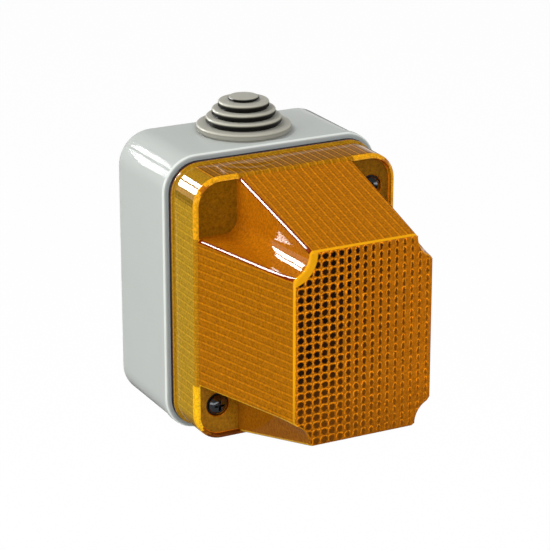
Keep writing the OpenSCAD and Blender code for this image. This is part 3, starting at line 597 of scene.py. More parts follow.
heights = [FLOOR_OUT - 1.2, FLOOR_OUT] + [LEDGE_OUT + (FRONT_OUT - LEDGE_OUT) * k / 10 for k in range(10)]
sections = [(out, tower_outline(out)) for out in heights]
sections += [(out, tower_outline(out, inset)) for out, inset in quarter_round(FRONT_OUT, 0.5, False, 5)]
tower = loft("tower", sections)
hollow_top = FLOOR_OUT - COVER_T
skirt_hollow = soft_block("hollow", skirt_w - 2 * COVER_T, skirt_h - 2 * COVER_T, skirt_r - COVER_T,
                          [(FLANGE_OUT - 1, 0), (hollow_top - 0.5, 0), (hollow_top, 0.5)])
inner = [hollow_top - 1] + [hollow_top + (FRONT_OUT - COVER_T - hollow_top) * k / 4 for k in range(5)]
tower_hollow = loft("hollow", [(out, tower_outline(out, COVER_T)) for out in inner])
SINK_OUT, SINK_R, TUBE_R, TUBE_END = FLOOR_OUT - 1.4, 3.4, 4.0, BOSS_TOP + 1.3
tubes, sinks = [], []
for side in (1, -1):
    foot = from_wall(side * SCREW_X, side * SCREW_UP, 0)
    tubes.append(turned("tube", [(0, TUBE_END), (TUBE_R - 0.2, TUBE_END), (TUBE_R, TUBE_END + 0.2),
                                 (TUBE_R, FLOOR_OUT - 1), (0, FLOOR_OUT - 1)], foot, OUT))
    sinks.append(turned("hole", [(0, TUBE_END - 1), (1.75, TUBE_END - 1), (1.75, FLOOR_OUT),
                                 (0, FLOOR_OUT)], foot, OUT))
    sinks.append(turned("sink", [(0, SINK_OUT), (SINK_R, SINK_OUT), (SINK_R, FLOOR_OUT - 0.25),
                                 (SINK_R + 0.3, FLOOR_OUT + 0.2), (0, FLOOR_OUT + 0.2)], foot, OUT, 96))
carve(amber_cover, joined=[tower], cut=[skirt_hollow, tower_hollow])
carve(amber_cover, joined=tubes, cut=sinks)


def grow(piece, tree, values):
    """Runs a Geometry Nodes tree on a piece with its named inputs, and keeps the plain mesh."""
    step = piece.modifiers.new(tree.name, "NODES")
    step.node_group = tree
    for item in tree.interface.items_tree:
        if item.item_type == "SOCKET" and item.in_out == "INPUT" and item.name in values:
            step[item.identifier] = values[item.name]
    shape = bpy.data.meshes.new_from_object(piece.evaluated_get(bpy.context.evaluated_depsgraph_get()))
    piece.modifiers.clear()
    piece.data = shape
    return piece


def new_tree(name, sockets):
    """An empty Geometry Nodes tree with named inputs, which returns the tree and its input sockets."""
    tree = bpy.data.node_groups.new(name, "GeometryNodeTree")
    for label, kind in [("Geometry", "Geometry")] + sockets + [("Material", "Material")]:
        tree.interface.new_socket(label, in_out="INPUT", socket_type="NodeSocket" + kind)
    tree.interface.new_socket("Geometry", in_out="OUTPUT", socket_type="NodeSocketGeometry")
    return tree, add(tree, "NodeGroupInput").outputs


# Rows of one cutting shape side by side and one above another; the corners of the field stay empty
rows, given = new_tree("rows_of_cutters", [("Columns", "Int"), ("Rows", "Int"), ("Across", "Float"),
                                           ("Up", "Float"), ("Corner Across", "Float"),
                                           ("Corner Up", "Float")])
gaps_across = add(rows, "ShaderNodeMath", {0: given["Columns"], 1: 1.0}, operation="SUBTRACT")
gaps_up = add(rows, "ShaderNodeMath", {0: given["Rows"], 1: 1.0}, operation="SUBTRACT")
field_w = add(rows, "ShaderNodeMath", {0: gaps_across.outputs[0], 1: given["Across"]}, operation="MULTIPLY")
field_h = add(rows, "ShaderNodeMath", {0: gaps_up.outputs[0], 1: given["Up"]}, operation="MULTIPLY")
field = add(rows, "GeometryNodeMeshGrid", {"Size X": field_w.outputs[0], "Size Y": field_h.outputs[0],
                                           "Vertices X": given["Columns"], "Vertices Y": given["Rows"]})
upright = add(rows, "GeometryNodeTransform", {"Geometry": field.outputs["Mesh"],
                                              "Rotation": (pi / 2, 0, 0)})
spot = add(rows, "ShaderNodeVectorMath", {0: add(rows, "GeometryNodeInputPosition").outputs[0]},
           operation="ABSOLUTE")
spot = add(rows, "ShaderNodeSeparateXYZ", {0: spot.outputs[0]})
wide = add(rows, "ShaderNodeMath", {0: spot.outputs["X"], 1: given["Corner Across"]},
           operation="GREATER_THAN")
high = add(rows, "ShaderNodeMath", {0: spot.outputs["Z"], 1: given["Corner Up"]}, operation="GREATER_THAN")
empty = add(rows, "ShaderNodeMath", {0: wide.outputs[0], 1: high.outputs[0]}, operation="MULTIPLY")
spots = add(rows, "GeometryNodeDeleteGeometry", {"Geometry": upright.outputs[0],
                                                 "Selection": empty.outputs[0]})
copies = add(rows, "GeometryNodeInstanceOnPoints", {"Points": spots.outputs[0],
                                                    "Instance": given["Geometry"]})
real = add(rows, "GeometryNodeRealizeInstances", {"Geometry": copies.outputs[0]})
done = add(rows, "GeometryNodeSetMaterial", {"Geometry": real.outputs[0], "Material": given["Material"]})
add(rows, "NodeGroupOutput", {"Geometry": done.outputs[0]})

PRISM_W, PRISM_H, PRISM_COLUMNS, PRISM_ROWS, RIB_UP, RIB_ACROSS = 2.36, 2.23, 15, 22, 2.25, 2.36


def paint_faces(piece, rule):
    """Stores a colour with painted light and shade in it, and the pattern shares, on every face; rule gets
    x, up, out and the normal.
    """
    mesh = piece.data
    shade = mesh.attributes.new("colour_with_painted_light", "FLOAT_COLOR", "FACE")
    share = mesh.attributes.new("pattern", "FLOAT_VECTOR", "FACE")
    for face in mesh.polygons:
        middle = face.center / MM
        code, pattern = rule(middle.x, middle.z, -middle.y, face.normal)
        shade.data[face.index].color = srgb(code)
        share.data[face.index].vector = pattern


def amber_zone_and_painted_light(x, up, out, normal):
    """Colour of the amber by place with painted light and shade in it, and its shares of prisms, level ribs
    and upright ribs.
    """
    w = between(out, skirt_w / 2 - ARM_INSET, FACE_W / 2, LEDGE_OUT)
    h = between(out, skirt_h / 2 - ARM_INSET, FACE_H / 2, LEDGE_OUT)
    a, b = between(out, ARM_W_ROOT, ARM_W_TIP) / 2, between(out, ARM_H_ROOT, ARM_H_TIP) / 2
    outside = out > FRONT_OUT - 0.7 or not (abs(x) < w - 1 and abs(up) < h - 1)
    if -normal.y > 0.9 and out > FRONT_OUT - 4:
        return "#c67208", (1, 0, 0)
    if out > LEDGE_OUT - 0.05 and abs(normal.x) > 0.85 and outside:
        return "#ae6a03", (0, 1, 0)
    if out > LEDGE_OUT - 0.05 and abs(normal.z) > 0.85 and outside:
        return "#bb7003", (0, 0, 1)
    # Painted highlight and shade: the edge lines beside the scoops are dark above and bright below
    if out > LEDGE_OUT and min(abs(normal.x), abs(normal.z)) > 0.3 and (
            max(abs(abs(x) - a), abs(abs(up) - h)) < 1 or max(abs(abs(x) - w), abs(abs(up) - b)) < 1):
        return "#7c2c06" if up > 0 else "#e8ac1c", (0, 0, 0)
    # Painted shade: the flange is dark where it lies on the seal
    if out < FLANGE_OUT + 0.8:
        return "#5a2006", (0, 0, 0)
    # Painted glow: the lip of the lower left pocket is bright yellow
    if out > LEDGE_OUT - LIP_BAND and normal.x < -0.3 and x < 2 - skirt_w / 2 and up < -ARM_H_ROOT / 2:
        return "#ffc018", (0, 0, 0)
    if out < LEDGE_OUT - LEDGE_ROUND and abs(normal.x) > 0.95 and abs(x) > skirt_w / 2 - 4:
        return ("#94701a" if up > 27 else "#ba901f"), (0, 0.7, 0)
    if out < LEDGE_OUT - LEDGE_ROUND and abs(normal.z) > 0.95 and abs(up) > skirt_h / 2 - 4:
        return "#a46a06", (0, 0, 2)
    # Painted shade and light: the pocket floors are darker above than below
    if -normal.y > 0.9 and FLOOR_OUT - 0.3 < out < LEDGE_OUT - 0.5:
        return "#865909" if up > 0 else "#ab7414", (0, 0, 0)
    # Painted highlight: an orange ring on the rim of each screw sink
    if FLOOR_OUT - 0.4 < out < FLOOR_OUT + 0.1 and -normal.y > 0.3:
        return "#e07818", (0, 0, 0)
    # Painted light on the ledge's rounding: bright lips, and faces lighter or darker above than below
    if out < LEDGE_OUT + 0.1 and (abs(x) > skirt_w / 2 - 2 or abs(up) > skirt_h / 2 - 2):
        if out < LEDGE_OUT - LEDGE_ROUND - 0.1:
            return "#a87a12", (0, 0, 0)
        if abs(up) < ARM_H_ROOT / 2 - 1:
            return "#b98010", (0, 0.5, 0)
        if abs(x) < ARM_W_ROOT / 2 + 1:
            return ("#b4760c", (0, 0, 1)) if up > 0 else ("#8a4a10", (0, 0, 0.5))
        if up < 0 and abs(up) > skirt_h / 2 - 2 and abs(x) < skirt_w / 2 - 3:
            return "#74390b", (0, 0, 0)
        return "#ffc424" if up < 0 else "#eca414", (0, 0, 0)
    # Painted light and shade: the rest is lighter above than below
    return ("#b66909" if up > 0 else "#98590a"), (0, 0, 0)


amber, tree = new_material("clear amber polycarbonate")
place = add(tree, "ShaderNodeTexCoord").outputs["Object"]
place = add(tree, "ShaderNodeVectorMath", {0: place, 1: (1 / MM, -1 / MM, 1 / MM)},
            operation="MULTIPLY").outputs[0]
body = add(tree, "ShaderNodeAttribute", attribute_name="colour_with_painted_light").outputs["Color"]
share = add(tree, "ShaderNodeAttribute", attribute_name="pattern").outputs["Vector"]
share = add(tree, "ShaderNodeSeparateXYZ", {0: share})
mottle = add(tree, "ShaderNodeTexNoise", {"Vector": place, "Scale": 1.4, "Detail": 4.0, "Roughness": 0.75})
mottle = add(tree, "ShaderNodeMapRange", {"Value": mottle.outputs[0], "From Min": 0.3, "From Max": 0.7,
                                          "To Min": 0.6, "To Max": 1.4})
body = add(tree, "ShaderNodeVectorMath", {0: body, "Scale": mottle.outputs[0]},
           operation="SCALE").outputs[0]

# Ribs: painted highlight and shade, each rib a thin bright line with a dark one beside it
step = add(tree, "ShaderNodeVectorMath", {0: place, 1: (1 / RIB_ACROSS, 1.0, 1 / RIB_UP)},
           operation="MULTIPLY")
step = add(tree, "ShaderNodeVectorMath", {0: step.outputs[0], 1: (0.5, 0.0, 0.5)}, operation="ADD")
step = add(tree, "ShaderNodeVectorMath", {0: step.outputs[0]}, operation="FRACTION")
step = add(tree, "ShaderNodeSeparateXYZ", {0: step.outputs[0]})
for rib, weight in (("Z", "Y"), ("X", "Z")):
    lines = add(tree, "ShaderNodeValToRGB", {0: step.outputs[rib]})
    stops = lines.color_ramp.elements
    for spot, level in ((0.12, 1.28), (0.26, 0.68), (0.38, 0.88), (0.52, 0.97), (0.6, 0.84), (0.7, 0.97),
                        (0.86, 0.76)):
        stops.new(spot).color = (level, level, level, 1)
    stops[0].color = (1.3, 1.3, 1.3, 1)
    stops[-1].color = (1.15, 1.15, 1.15, 1)
    tinted = add(tree, "ShaderNodeVectorMath", {0: body, 1: lines.outputs[0]}, operation="MULTIPLY")
    body = add(tree, "ShaderNodeMix", {"Factor": share.outputs[weight], "A": body, "B": tinted.outputs[0]},
               data_type="VECTOR", clamp_factor=False).outputs["Result"]

# Prisms: painted shade and highlight, dark rounded middles under a bright arc, which narrow to upright
# dashes towards the right
cell = add(tree, "ShaderNodeVectorMath", {0: place, 1: (1 / PRISM_W, 0.0, 1 / PRISM_H)},
           operation="MULTIPLY")
cell = add(tree, "ShaderNodeVectorMath", {0: cell.outputs[0], 1: (0.5, 0.0, 0.0)}, operation="ADD")
number = add(tree, "ShaderNodeVectorMath", {0: cell.outputs[0]}, operation="FLOOR")
chance = add(tree, "ShaderNodeTexWhiteNoise", {"Vector": number.outputs[0]})
cell = add(tree, "ShaderNodeVectorMath", {0: cell.outputs[0]}, operation="FRACTION")
cell = add(tree, "ShaderNodeVectorMath", {0: cell.outputs[0], 1: (-0.53, 0.0, -0.46)}, operation="ADD")
ragged = add(tree, "ShaderNodeTexNoise", {"Vector": place, "Scale": 1.9, "Detail": 2.0})
ragged = add(tree, "ShaderNodeVectorMath", {0: ragged.outputs["Color"], 1: (-0.5, -0.5, -0.5)},
             operation="ADD")
ragged = add(tree, "ShaderNodeVectorMath", {0: ragged.outputs[0], "Scale": 0.4}, operation="SCALE")
cell = add(tree, "ShaderNodeVectorMath", {0: cell.outputs[0], 1: ragged.outputs[0]}, operation="ADD")
across = add(tree, "ShaderNodeSeparateXYZ", {0: place})
spread = add(tree, "ShaderNodeMapRange", {"Value": across.outputs["X"], "From Min": -10.0, "From Max": 14.0,
                                          "To Min": 2.4, "To Max": 6.5})
wide = add(tree, "ShaderNodeCombineXYZ", {"X": spread.outputs[0], "Z": 2.3})
oval = add(tree, "ShaderNodeVectorMath", {0: cell.outputs[0], 1: wide.outputs[0]}, operation="MULTIPLY")
size = add(tree, "ShaderNodeVectorMath", {0: oval.outputs[0]}, operation="LENGTH")
# Painted shade: the dark middles fade towards the right and the bottom, a little more or less in each cell
fall = add(tree, "ShaderNodeVectorMath", {0: place, 1: (1.0, 0.0, -0.3)}, operation="DOT_PRODUCT")
fade = add(tree, "ShaderNodeMapRange", {"Value": fall.outputs["Value"], "From Min": -10.0, "From Max": 24.0,
                                        "To Min": 1.0, "To Max": 0.4})
cell_spread = add(tree, "ShaderNodeMapRange", {"Value": chance.outputs[0], "To Min": 0.95, "To Max": 1.0})
depth = add(tree, "ShaderNodeMath", {0: fade.outputs[0], 1: cell_spread.outputs[0]}, operation="MULTIPLY")
low_pale = add(tree, "ShaderNodeMapRange", {"Value": across.outputs["Z"],
                                            "From Min": -26.0, "From Max": -6.0,
                                            "To Min": 0.66, "To Max": 1.0})
depth = add(tree, "ShaderNodeMath", {0: depth.outputs[0], 1: low_pale.outputs[0]}, operation="MULTIPLY")
dark = add(tree, "ShaderNodeMapRange", {"Value": size.outputs["Value"], "From Min": 0.72, "From Max": 1.05,
                                        "To Min": 1.0, "To Max": 0.0},
           interpolation_type="SMOOTHSTEP")
dark = add(tree, "ShaderNodeMath", {0: dark.outputs[0], 1: depth.outputs[0]}, operation="MULTIPLY")
arc = add(tree, "ShaderNodeMath", {0: size.outputs["Value"], 1: 1.28}, operation="SUBTRACT")
arc = add(tree, "ShaderNodeMath", {0: arc.outputs[0]}, operation="ABSOLUTE")
arc = add(tree, "ShaderNodeMapRange", {"Value": arc.outputs[0], "From Min": 0.05, "From Max": 0.24,
                                       "To Min": 1.0, "To Max": 0.0})
lean = add(tree, "ShaderNodeVectorMath", {0: cell.outputs[0], 1: (-0.7, 0.0, 1.0)}, operation="DOT_PRODUCT")
lit = add(tree, "ShaderNodeMapRange", {"Value": lean.outputs["Value"], "From Min": -0.05, "From Max": 0.2})
arc = add(tree, "ShaderNodeMath", {0: arc.outputs[0], 1: lit.outputs[0]}, operation="MULTIPLY")
# Painted highlight: the arcs are dimmer at the bottom and brighter towards the right
rim = add(tree, "ShaderNodeMapRange", {"Value": arc.outputs[0], "To Min": 0.78, "To Max": 1.9})
rim = add(tree, "ShaderNodeVectorMath", {0: body, "Scale": rim.outputs[0]}, operation="SCALE")
low_dim = add(tree, "ShaderNodeMapRange", {"Value": across.outputs["Z"], "From Min": -27.0,
                                           "From Max": -12.0, "To Min": 0.78, "To Max": 1.0})
rim = add(tree, "ShaderNodeVectorMath", {0: rim.outputs[0], "Scale": low_dim.outputs[0]}, operation="SCALE")
right_lit = add(tree, "ShaderNodeMapRange", {"Value": across.outputs["X"], "From Min": 0.0,
                                             "From Max": 18.0, "To Min": 1.0, "To Max": 1.1})
rim = add(tree, "ShaderNodeVectorMath", {0: rim.outputs[0], "Scale": right_lit.outputs[0]},
          operation="SCALE")
prisms = add(tree, "ShaderNodeMix", {"Factor": dark.outputs[0], "A": rim.outputs[0],
                                     "B": srgb("#0c0502")[:3]}, data_type="VECTOR")
body = add(tree, "ShaderNodeMix", {"Factor": share.outputs["X"], "A": body, "B": prisms.outputs["Result"]},
           data_type="VECTOR").outputs["Result"]

# Painted glow: light is painted as if it gathers in the solid rim round the front and glows there, most
# round the upper left scoop and towards the upper left
corner = add(tree, "ShaderNodeVectorMath", {0: place}, operation="ABSOLUTE")
scoop_middle = (ARM_W_TIP / 2 + SCOOP_TIP, 0.0, ARM_H_TIP / 2 + SCOOP_TIP)
corner = add(tree, "ShaderNodeVectorMath", {0: corner.outputs[0], 1: scoop_middle}, operation="SUBTRACT")
corner = add(tree, "ShaderNodeVectorMath", {0: corner.outputs[0], 1: (1.0, 0.0, 1.0)}, operation="MULTIPLY")
corner = add(tree, "ShaderNodeVectorMath", {0: corner.outputs[0]}, operation="LENGTH")
ring = add(tree, "ShaderNodeMapRange", {"Value": corner.outputs["Value"], "From Min": SCOOP_TIP + 1.9,
                                        "From Max": SCOOP_TIP + 2.2, "To Min": 1.0, "To Max": 0.0})
near = add(tree, "ShaderNodeMapRange", {"Value": across.outputs["Y"], "From Min": FRONT_OUT - 1.0,
                                        "From Max": FRONT_OUT - 0.7})
upper_left = add(tree, "ShaderNodeVectorMath", {0: place, 1: (-1.0, 0.0, 1.0)},
                 operation="DOT_PRODUCT").outputs["Value"]
one_corner = add(tree, "ShaderNodeMapRange", {"Value": upper_left, "From Min": 10.0, "From Max": 30.0})
ring = add(tree, "ShaderNodeMath", {0: ring.outputs[0], 1: one_corner.outputs[0]}, operation="MULTIPLY")
off_front = add(tree, "ShaderNodeMath", {0: 1.0, 1: share.outputs["X"]}, operation="SUBTRACT")
glow = add(tree, "ShaderNodeMath", {0: ring.outputs[0], 1: off_front.outputs[0]}, operation="MAXIMUM")
glow = add(tree, "ShaderNodeMath", {0: glow.outputs[0], 1: near.outputs[0]}, operation="MULTIPLY")
lit_side = add(tree, "ShaderNodeMapRange", {"Value": upper_left, "From Min": -10.0, "From Max": 12.0})
glow = add(tree, "ShaderNodeMath", {0: glow.outputs[0], 1: lit_side.outputs[0]}, operation="MULTIPLY")
body = add(tree, "ShaderNodeMix", {"Factor": glow.outputs[0], "A": body, "B": srgb("#f2a80c")[:3]},
           data_type="VECTOR").outputs["Result"]
surface = add(tree, "ShaderNodeBsdfPrincipled", {
    "Base Color": body, "Roughness": 0.06, "IOR": 1.585, "Specular IOR Level": 0.2})
add(tree, "ShaderNodeOutputMaterial", {"Surface": surface.outputs[0]})

# The mould's inside: a field of pyramids behind the front face, and V-shaped grooves behind the arms' ends
INNER_OUT, PYRAMID_DEPTH, GROOVE_DEPTH, LAND = FRONT_OUT - COVER_T, 0.9, 0.45, 0.12
half_w, half_h = PRISM_W / 2 - LAND, PRISM_H / 2 - LAND
base_corners = [(-half_w, -half_h), (half_w, -half_h), (half_w, half_h), (-half_w, half_h)]
points = [from_wall(x, up, out) for out in (INNER_OUT - 0.3, INNER_OUT) for x, up in base_corners]
points.append(from_wall(0, 0, INNER_OUT + PYRAMID_DEPTH))
pyramid = solid("pyramid_cutters", points,
                [(0, 1, 2, 3), (0, 1, 5, 4), (1, 2, 6, 5), (2, 3, 7, 6), (3, 0, 4, 7), (4, 5, 8), (5, 6, 8),
                 (6, 7, 8), (7, 4, 8)])
grow(pyramid, rows, {"Columns": PRISM_COLUMNS, "Rows": PRISM_ROWS, "Across": PRISM_W * MM,
                     "Up": PRISM_H * MM, "Material": amber,
                     "Corner Across": (ARM_W_TIP / 2 - COVER_T - 1.2) * MM,
                     "Corner Up": (ARM_H_TIP / 2 - COVER_T - 1.1) * MM})
cutters = [pyramid]
low, high = hollow_top + 1.5, INNER_OUT - 0.8
for side in (1, -1):
    for name, reach_of, count, pitch in (
            ("grooves_beside", lambda out: between(out, skirt_w / 2 - ARM_INSET, FACE_W / 2,
                                                   LEDGE_OUT) - COVER_T, 15, RIB_UP),
            ("grooves_above", lambda out: between(out, skirt_h / 2 - ARM_INSET, FACE_H / 2,
                                                  LEDGE_OUT) - COVER_T, 11, RIB_ACROSS)):
        beside = name == "grooves_beside"
        points = []
        for out in (low, high):
            for along, reach in ((-pitch / 2 + LAND, reach_of(out) - 0.3),
                                 (pitch / 2 - LAND, reach_of(out) - 0.3),
                                 (0, reach_of(out) + GROOVE_DEPTH)):
                x, up = (side * reach, along) if beside else (along, side * reach)
                points.append(from_wall(x, up, out))
        groove = solid(name, points, [(0, 1, 2), (3, 4, 5), (0, 1, 4, 3), (1, 2, 5, 4), (2, 0, 3, 5)])
        grow(groove, rows, {"Columns": 1 if beside else count, "Rows": count if beside else 1,
                            "Across": pitch * MM, "Up": pitch * MM, "Material": amber,
                            "Corner Across": 1.0, "Corner Up": 1.0})
        cutters.append(groove)
carve(amber_cover, cut=cutters)
paint_faces(amber_cover, amber_zone_and_painted_light)
finish_piece(amber_cover, "cover", amber, ["cover"], 25)


# ---- Cover screws
# Two M3 pan-head screws of zinc-plated steel with a cross recess, cold-headed and thread-rolled. They hold
# the cover from the bottom of its corner pockets and stay in it when it is taken off.
HEAD_OUT, HEAD_R, HEAD_H, SCREW_R, SCREW_L, THREAD_PITCH = SINK_OUT + 0.7, 2.8, 2.0, 1.5, 26.0, 0.5

# A round or three-sided wire wound round the wall axis
coil, given = new_tree("wound_wire", [("Turns", "Float"), ("Height", "Float"), ("Radius", "Float"),
                                      ("Wire Radius", "Float"),
                                      ("Steps", "Int"), ("Sides", "Int")])
course = add(coil, "GeometryNodeCurveSpiral", {"Resolution": given["Steps"], "Rotations": given["Turns"],
                                               "Height": given["Height"],
                                               "Start Radius": given["Radius"],
                                               "End Radius": given["Radius"]})
wire = add(coil, "GeometryNodeCurvePrimitiveCircle",
           {"Resolution": given["Sides"], "Radius": given["Wire Radius"]})
wound = add(coil, "GeometryNodeCurveToMesh", {"Curve": course.outputs[0], "Profile Curve": wire.outputs[0],
                                              "Fill Caps": True})
turned_out = add(coil, "GeometryNodeTransform", {"Geometry": wound.outputs[0], "Rotation": (pi / 2, 0, 0)})
real = add(coil, "GeometryNodeRealizeInstances", {"Geometry": turned_out.outputs[0]})
done = add(coil, "GeometryNodeSetMaterial", {"Geometry": real.outputs[0], "Material": given["Material"]})
add(coil, "NodeGroupOutput", {"Geometry": done.outputs[0]})


def wound_wire(name, place, values, material):
    """A wound wire or a thread's ridge that starts at place, from sizes in mm."""
    made = solid(name, [Vector((0, 0, 0)), Vector((MM, 0, 0)), Vector((0, 0, MM))], [(0, 1, 2)])
    sizes = {key: value if key in ("Turns", "Steps",
                                   "Sides") else value * MM for key, value in values.items()}
    grow(made, coil, {**sizes, "Material": material})
    made.data.transform(Matrix.Translation(place))
    outward(made.data)
    return made


def gathered(base, others):
    """Puts other pieces' meshes into base's mesh."""
    work = bmesh.new()
    for piece in (base, *others):
        work.from_mesh(piece.data)
    work.to_mesh(base.data)
    work.free()
    for piece in others:
        bpy.data.objects.remove(piece)
    return base


def cross(x, up, reach, width):
    """Outline of a cross recess."""
    a, b = reach, width / 2
    corners = ((b, b), (a, b), (a, -b), (b, -b), (b, -a), (-b, -a), (-b, -b), (-a, -b), (-a, b), (-b, b),
               (-b, a), (b, a))
    return [(x + dx, up + dy) for dx, dy in corners]


zinc_steel = metal("zinc plated steel", "#8c9096", 0.13, 0.12, 0.2, 0.25)
for side, body, node in ((1, "upper_screw", "cover_screw_upper"), (-1, "lower_screw", "cover_screw_lower")):
    x, up = side * SCREW_X, side * SCREW_UP
    foot = from_wall(x, up, HEAD_OUT)
    profile = [(0, -SCREW_L), (0.9, -SCREW_L), (1.22, -SCREW_L + 0.5, 0.1), (1.22, -10),
               (SCREW_R - 0.02, -9.6), (SCREW_R - 0.02, 0), (HEAD_R - 0.15, 0)]
    profile += [(HEAD_R, 0.2, 0.15), (HEAD_R, 0.9, 0.5), (1.6, HEAD_H - 0.1, 2.0), (0, HEAD_H)]
    screw = turned(body + "_pan_head", filleted(profile, 6), foot, OUT, 48)
    recess = loft("recess", [(HEAD_OUT + 0.9, cross(x, up, 0.95, 0.5)),
                             (HEAD_OUT + HEAD_H + 0.2, cross(x, up, 1.75, 0.72))])
    carve(screw, cut=[recess])
    ridge = wound_wire("ridge", from_wall(x, up, HEAD_OUT - SCREW_L + 0.7), {
        "Turns": 17.0, "Height": 17 * THREAD_PITCH, "Radius": 1.24, "Wire Radius": 0.24, "Steps": 24,
        "Sides": 4}, zinc_steel)
    finish_piece(gathered(screw, [ridge]), body, zinc_steel, [node], 30)


# ---- Washers and retaining rings
# A black rubber washer under each screw head keeps water out. A ring punched from natural nylon sheet is
# pushed over the thread behind the cover, so that the screw can't fall out of it.
washer_rubber = moulded("black nitrile rubber", "#242426", 0.55, 0.08, 0.3, 0.01)
dress(washer_rubber, "screw_washers")
nylon = moulded("natural polyamide", "#e6e0d2", 0.42, 0.03, 0.4, 0.004)
dress(nylon, "screw_retainers")


# ---- Lampholder
# Compression-moulded holder of cream thermoset with a satin face: a foot plate with two ears, and a barrel
# that carries the brass shell. It is screwed to the box's two posts.
FOOT_OUT, FOOT_T, HOLDER_H, HOLDER_R = 7.0, 3.5, 23.5, 12.5
SHELL_OUT, SHELL_R, SHELL_T, SHELL_H = 13.5, 7.07, 0.9, 15.0
HOLDER_FLOOR, TAB_X, TAB_W, TAB_T, WIRE_OUT = 12.5, 9.0, 4.8, 0.8, 9.5
foot_plan = [(FOOT_OUT, 0.2), (FOOT_OUT + 0.2, 0), (FOOT_OUT + FOOT_T - 0.5, 0),
             (FOOT_OUT + FOOT_T - 0.15, 0.15), (FOOT_OUT + FOOT_T, 0.5)]
holder = loft("lampholder", [(out, round_rect(11 - 2 * inset, 45 - 2 * inset, 5.45 - inset,
                                              10)) for out, inset in foot_plan])
top = HOLDER_H
barrel = [(0, 0.05), (HOLDER_R - 0.2, 0.05), (HOLDER_R, 0.25), (HOLDER_R, 9.4), (HOLDER_R - 0.5, 9.8),
          (HOLDER_R - 0.5, 10.8), (HOLDER_R, 11.2)]
barrel += [(HOLDER_R, top - 4.6), (HOLDER_R - 0.5, top - 4.2), (HOLDER_R - 0.5, top - 3.4),
           (HOLDER_R, top - 3.0), (HOLDER_R, top - 0.6)]
barrel += [(HOLDER_R - 0.18, top - 0.18), (HOLDER_R - 0.6, top), (0, top)]
barrel = turned("barrel", barrel, from_wall(0, 0, FOOT_OUT), OUT, 72)
centre = from_wall(0, 0, 0)
inside = [turned("bore", [(0, SHELL_OUT), (SHELL_R + SHELL_T + 0.05, SHELL_OUT),
                          (SHELL_R + SHELL_T + 0.05, 30.1), (SHELL_R + SHELL_T + 0.5, 31), (0, 31)], centre,
                          OUT),
          turned("bore", [(0, HOLDER_FLOOR), (6.07, HOLDER_FLOOR), (6.07, SHELL_OUT + 1),
                          (0, SHELL_OUT + 1)], centre, OUT),
          turned("bore", [(0, 5), (1.45, 5), (1.45, 14), (0, 14)], centre, OUT, 32)]
for side in (1, -1):
    inside.append(turned("hole", [(0, 5), (1.55, 5), (1.55, 12), (0, 12)], from_wall(0, side * 17.0, 0),
                         OUT, 32))
    x, half = side * TAB_X, TAB_W / 2 + 0.05
    slit = [(x - half, -14), (x + half, -14), (x + half, -5.45), (x - half, -5.45)]
    inside.append(loft("slit", [(WIRE_OUT - TAB_T / 2 - 0.05, slit), (WIRE_OUT + TAB_T / 2 + 0.05, slit)]))
carve(holder, joined=[barrel], cut=inside)
cream_thermoset = moulded("cream thermoset moulding", "#ded9cb", 0.34, 0.04, 0.35, 0.006)
finish_piece(holder, "box", cream_thermoset, ["holder_base"], 35)

for side in (1, -1):
    up, out = side * 17.0, FOOT_OUT + FOOT_T
    profile = [(0, -7.8), (1.1, -7.8), (1.5, -7.2), (1.5, 0), (2.7, 0), (2.8, 0.15, 0.1), (2.8, 0.8, 0.4),
               (1.5, 1.75, 2.0), (0, 1.8)]
    screw = turned(("upper" if side > 0 else "lower") + "_holder_screw", filleted(profile, 5),
                   from_wall(0, up, out), OUT, 40)
    slot = [(-3, up - 0.35), (3, up - 0.35), (3, up + 0.35), (-3, up + 0.35)]
    carve(screw, cut=[loft("slot", [(out + 0.9, slot), (out + 3, slot)])])
    finish_piece(screw, "box", zinc_steel, ["holder_screws"], 30)


# ---- Threaded shell and centre contact
# The shell is rolled from thin brass sheet with a coarse round thread, and turned in at its foot. A turned
# brass plunger on a steel spring presses on the lamp, and two stamped brass tabs lead out of the barrel.
CAP_PITCH, CAP_R, THREAD_DEPTH = 2.82, 6.92, 0.6


def rolled_thread(name, low, high, outside, depth, wall, foot_r, steps=48, rise=12):
    """Sheet-metal tube with a right-handed round thread; its foot is turned in to foot_r."""
    rings = max(2, int((high - low) / CAP_PITCH * rise))
    heights = [low + (high - low) * k / rings for k in range(rings + 1)]

    def wave(out, angle, inset):
        fade = min(1.0, (out - low) / 1.2, (high - out) / 1.6)
        swing = depth * (0.5 - 0.5 * cos(2 * pi * out / CAP_PITCH - angle)) * max(0.0, fade)
        return outside - swing - inset

    turn = [2 * pi * k / steps for k in range(steps)]
    outer = [[(wave(out, a, 0), a, out) for a in turn] for out in heights]
    inner = [[(wave(out, a, wall), a, out) for a in turn] for out in reversed(heights)]
    foot_inner = [[(foot_r, a, low + wall) for a in turn], [(foot_r, a, low) for a in turn]]
    inner[-1] = [(outside - wall, a, low + wall) for a in turn]
    lips = outer + inner + foot_inner
    points = [from_wall(r * cos(a), r * sin(a), out) for ring in lips for r, a, out in ring]
    count = len(lips)
    faces = [(i * steps + k, i * steps + (k + 1) % steps, (i + 1) % count * steps + (k + 1) % steps,
              (i + 1) % count * steps + k)
             for i in range(count) for k in range(steps)]
    return solid(name, points, faces)


shell = rolled_thread("threaded_shell_rolled", SHELL_OUT, SHELL_OUT + SHELL_H, SHELL_R + SHELL_T - 0.02,
                      THREAD_DEPTH, 0.45, SHELL_R - 1)
rolled_brass = metal("rolled sheet brass", "#d6b060", 0.24, 0.2, 3.0, 0.3)
finish_piece(shell, "box", rolled_brass, ["threaded_shell"], 50)

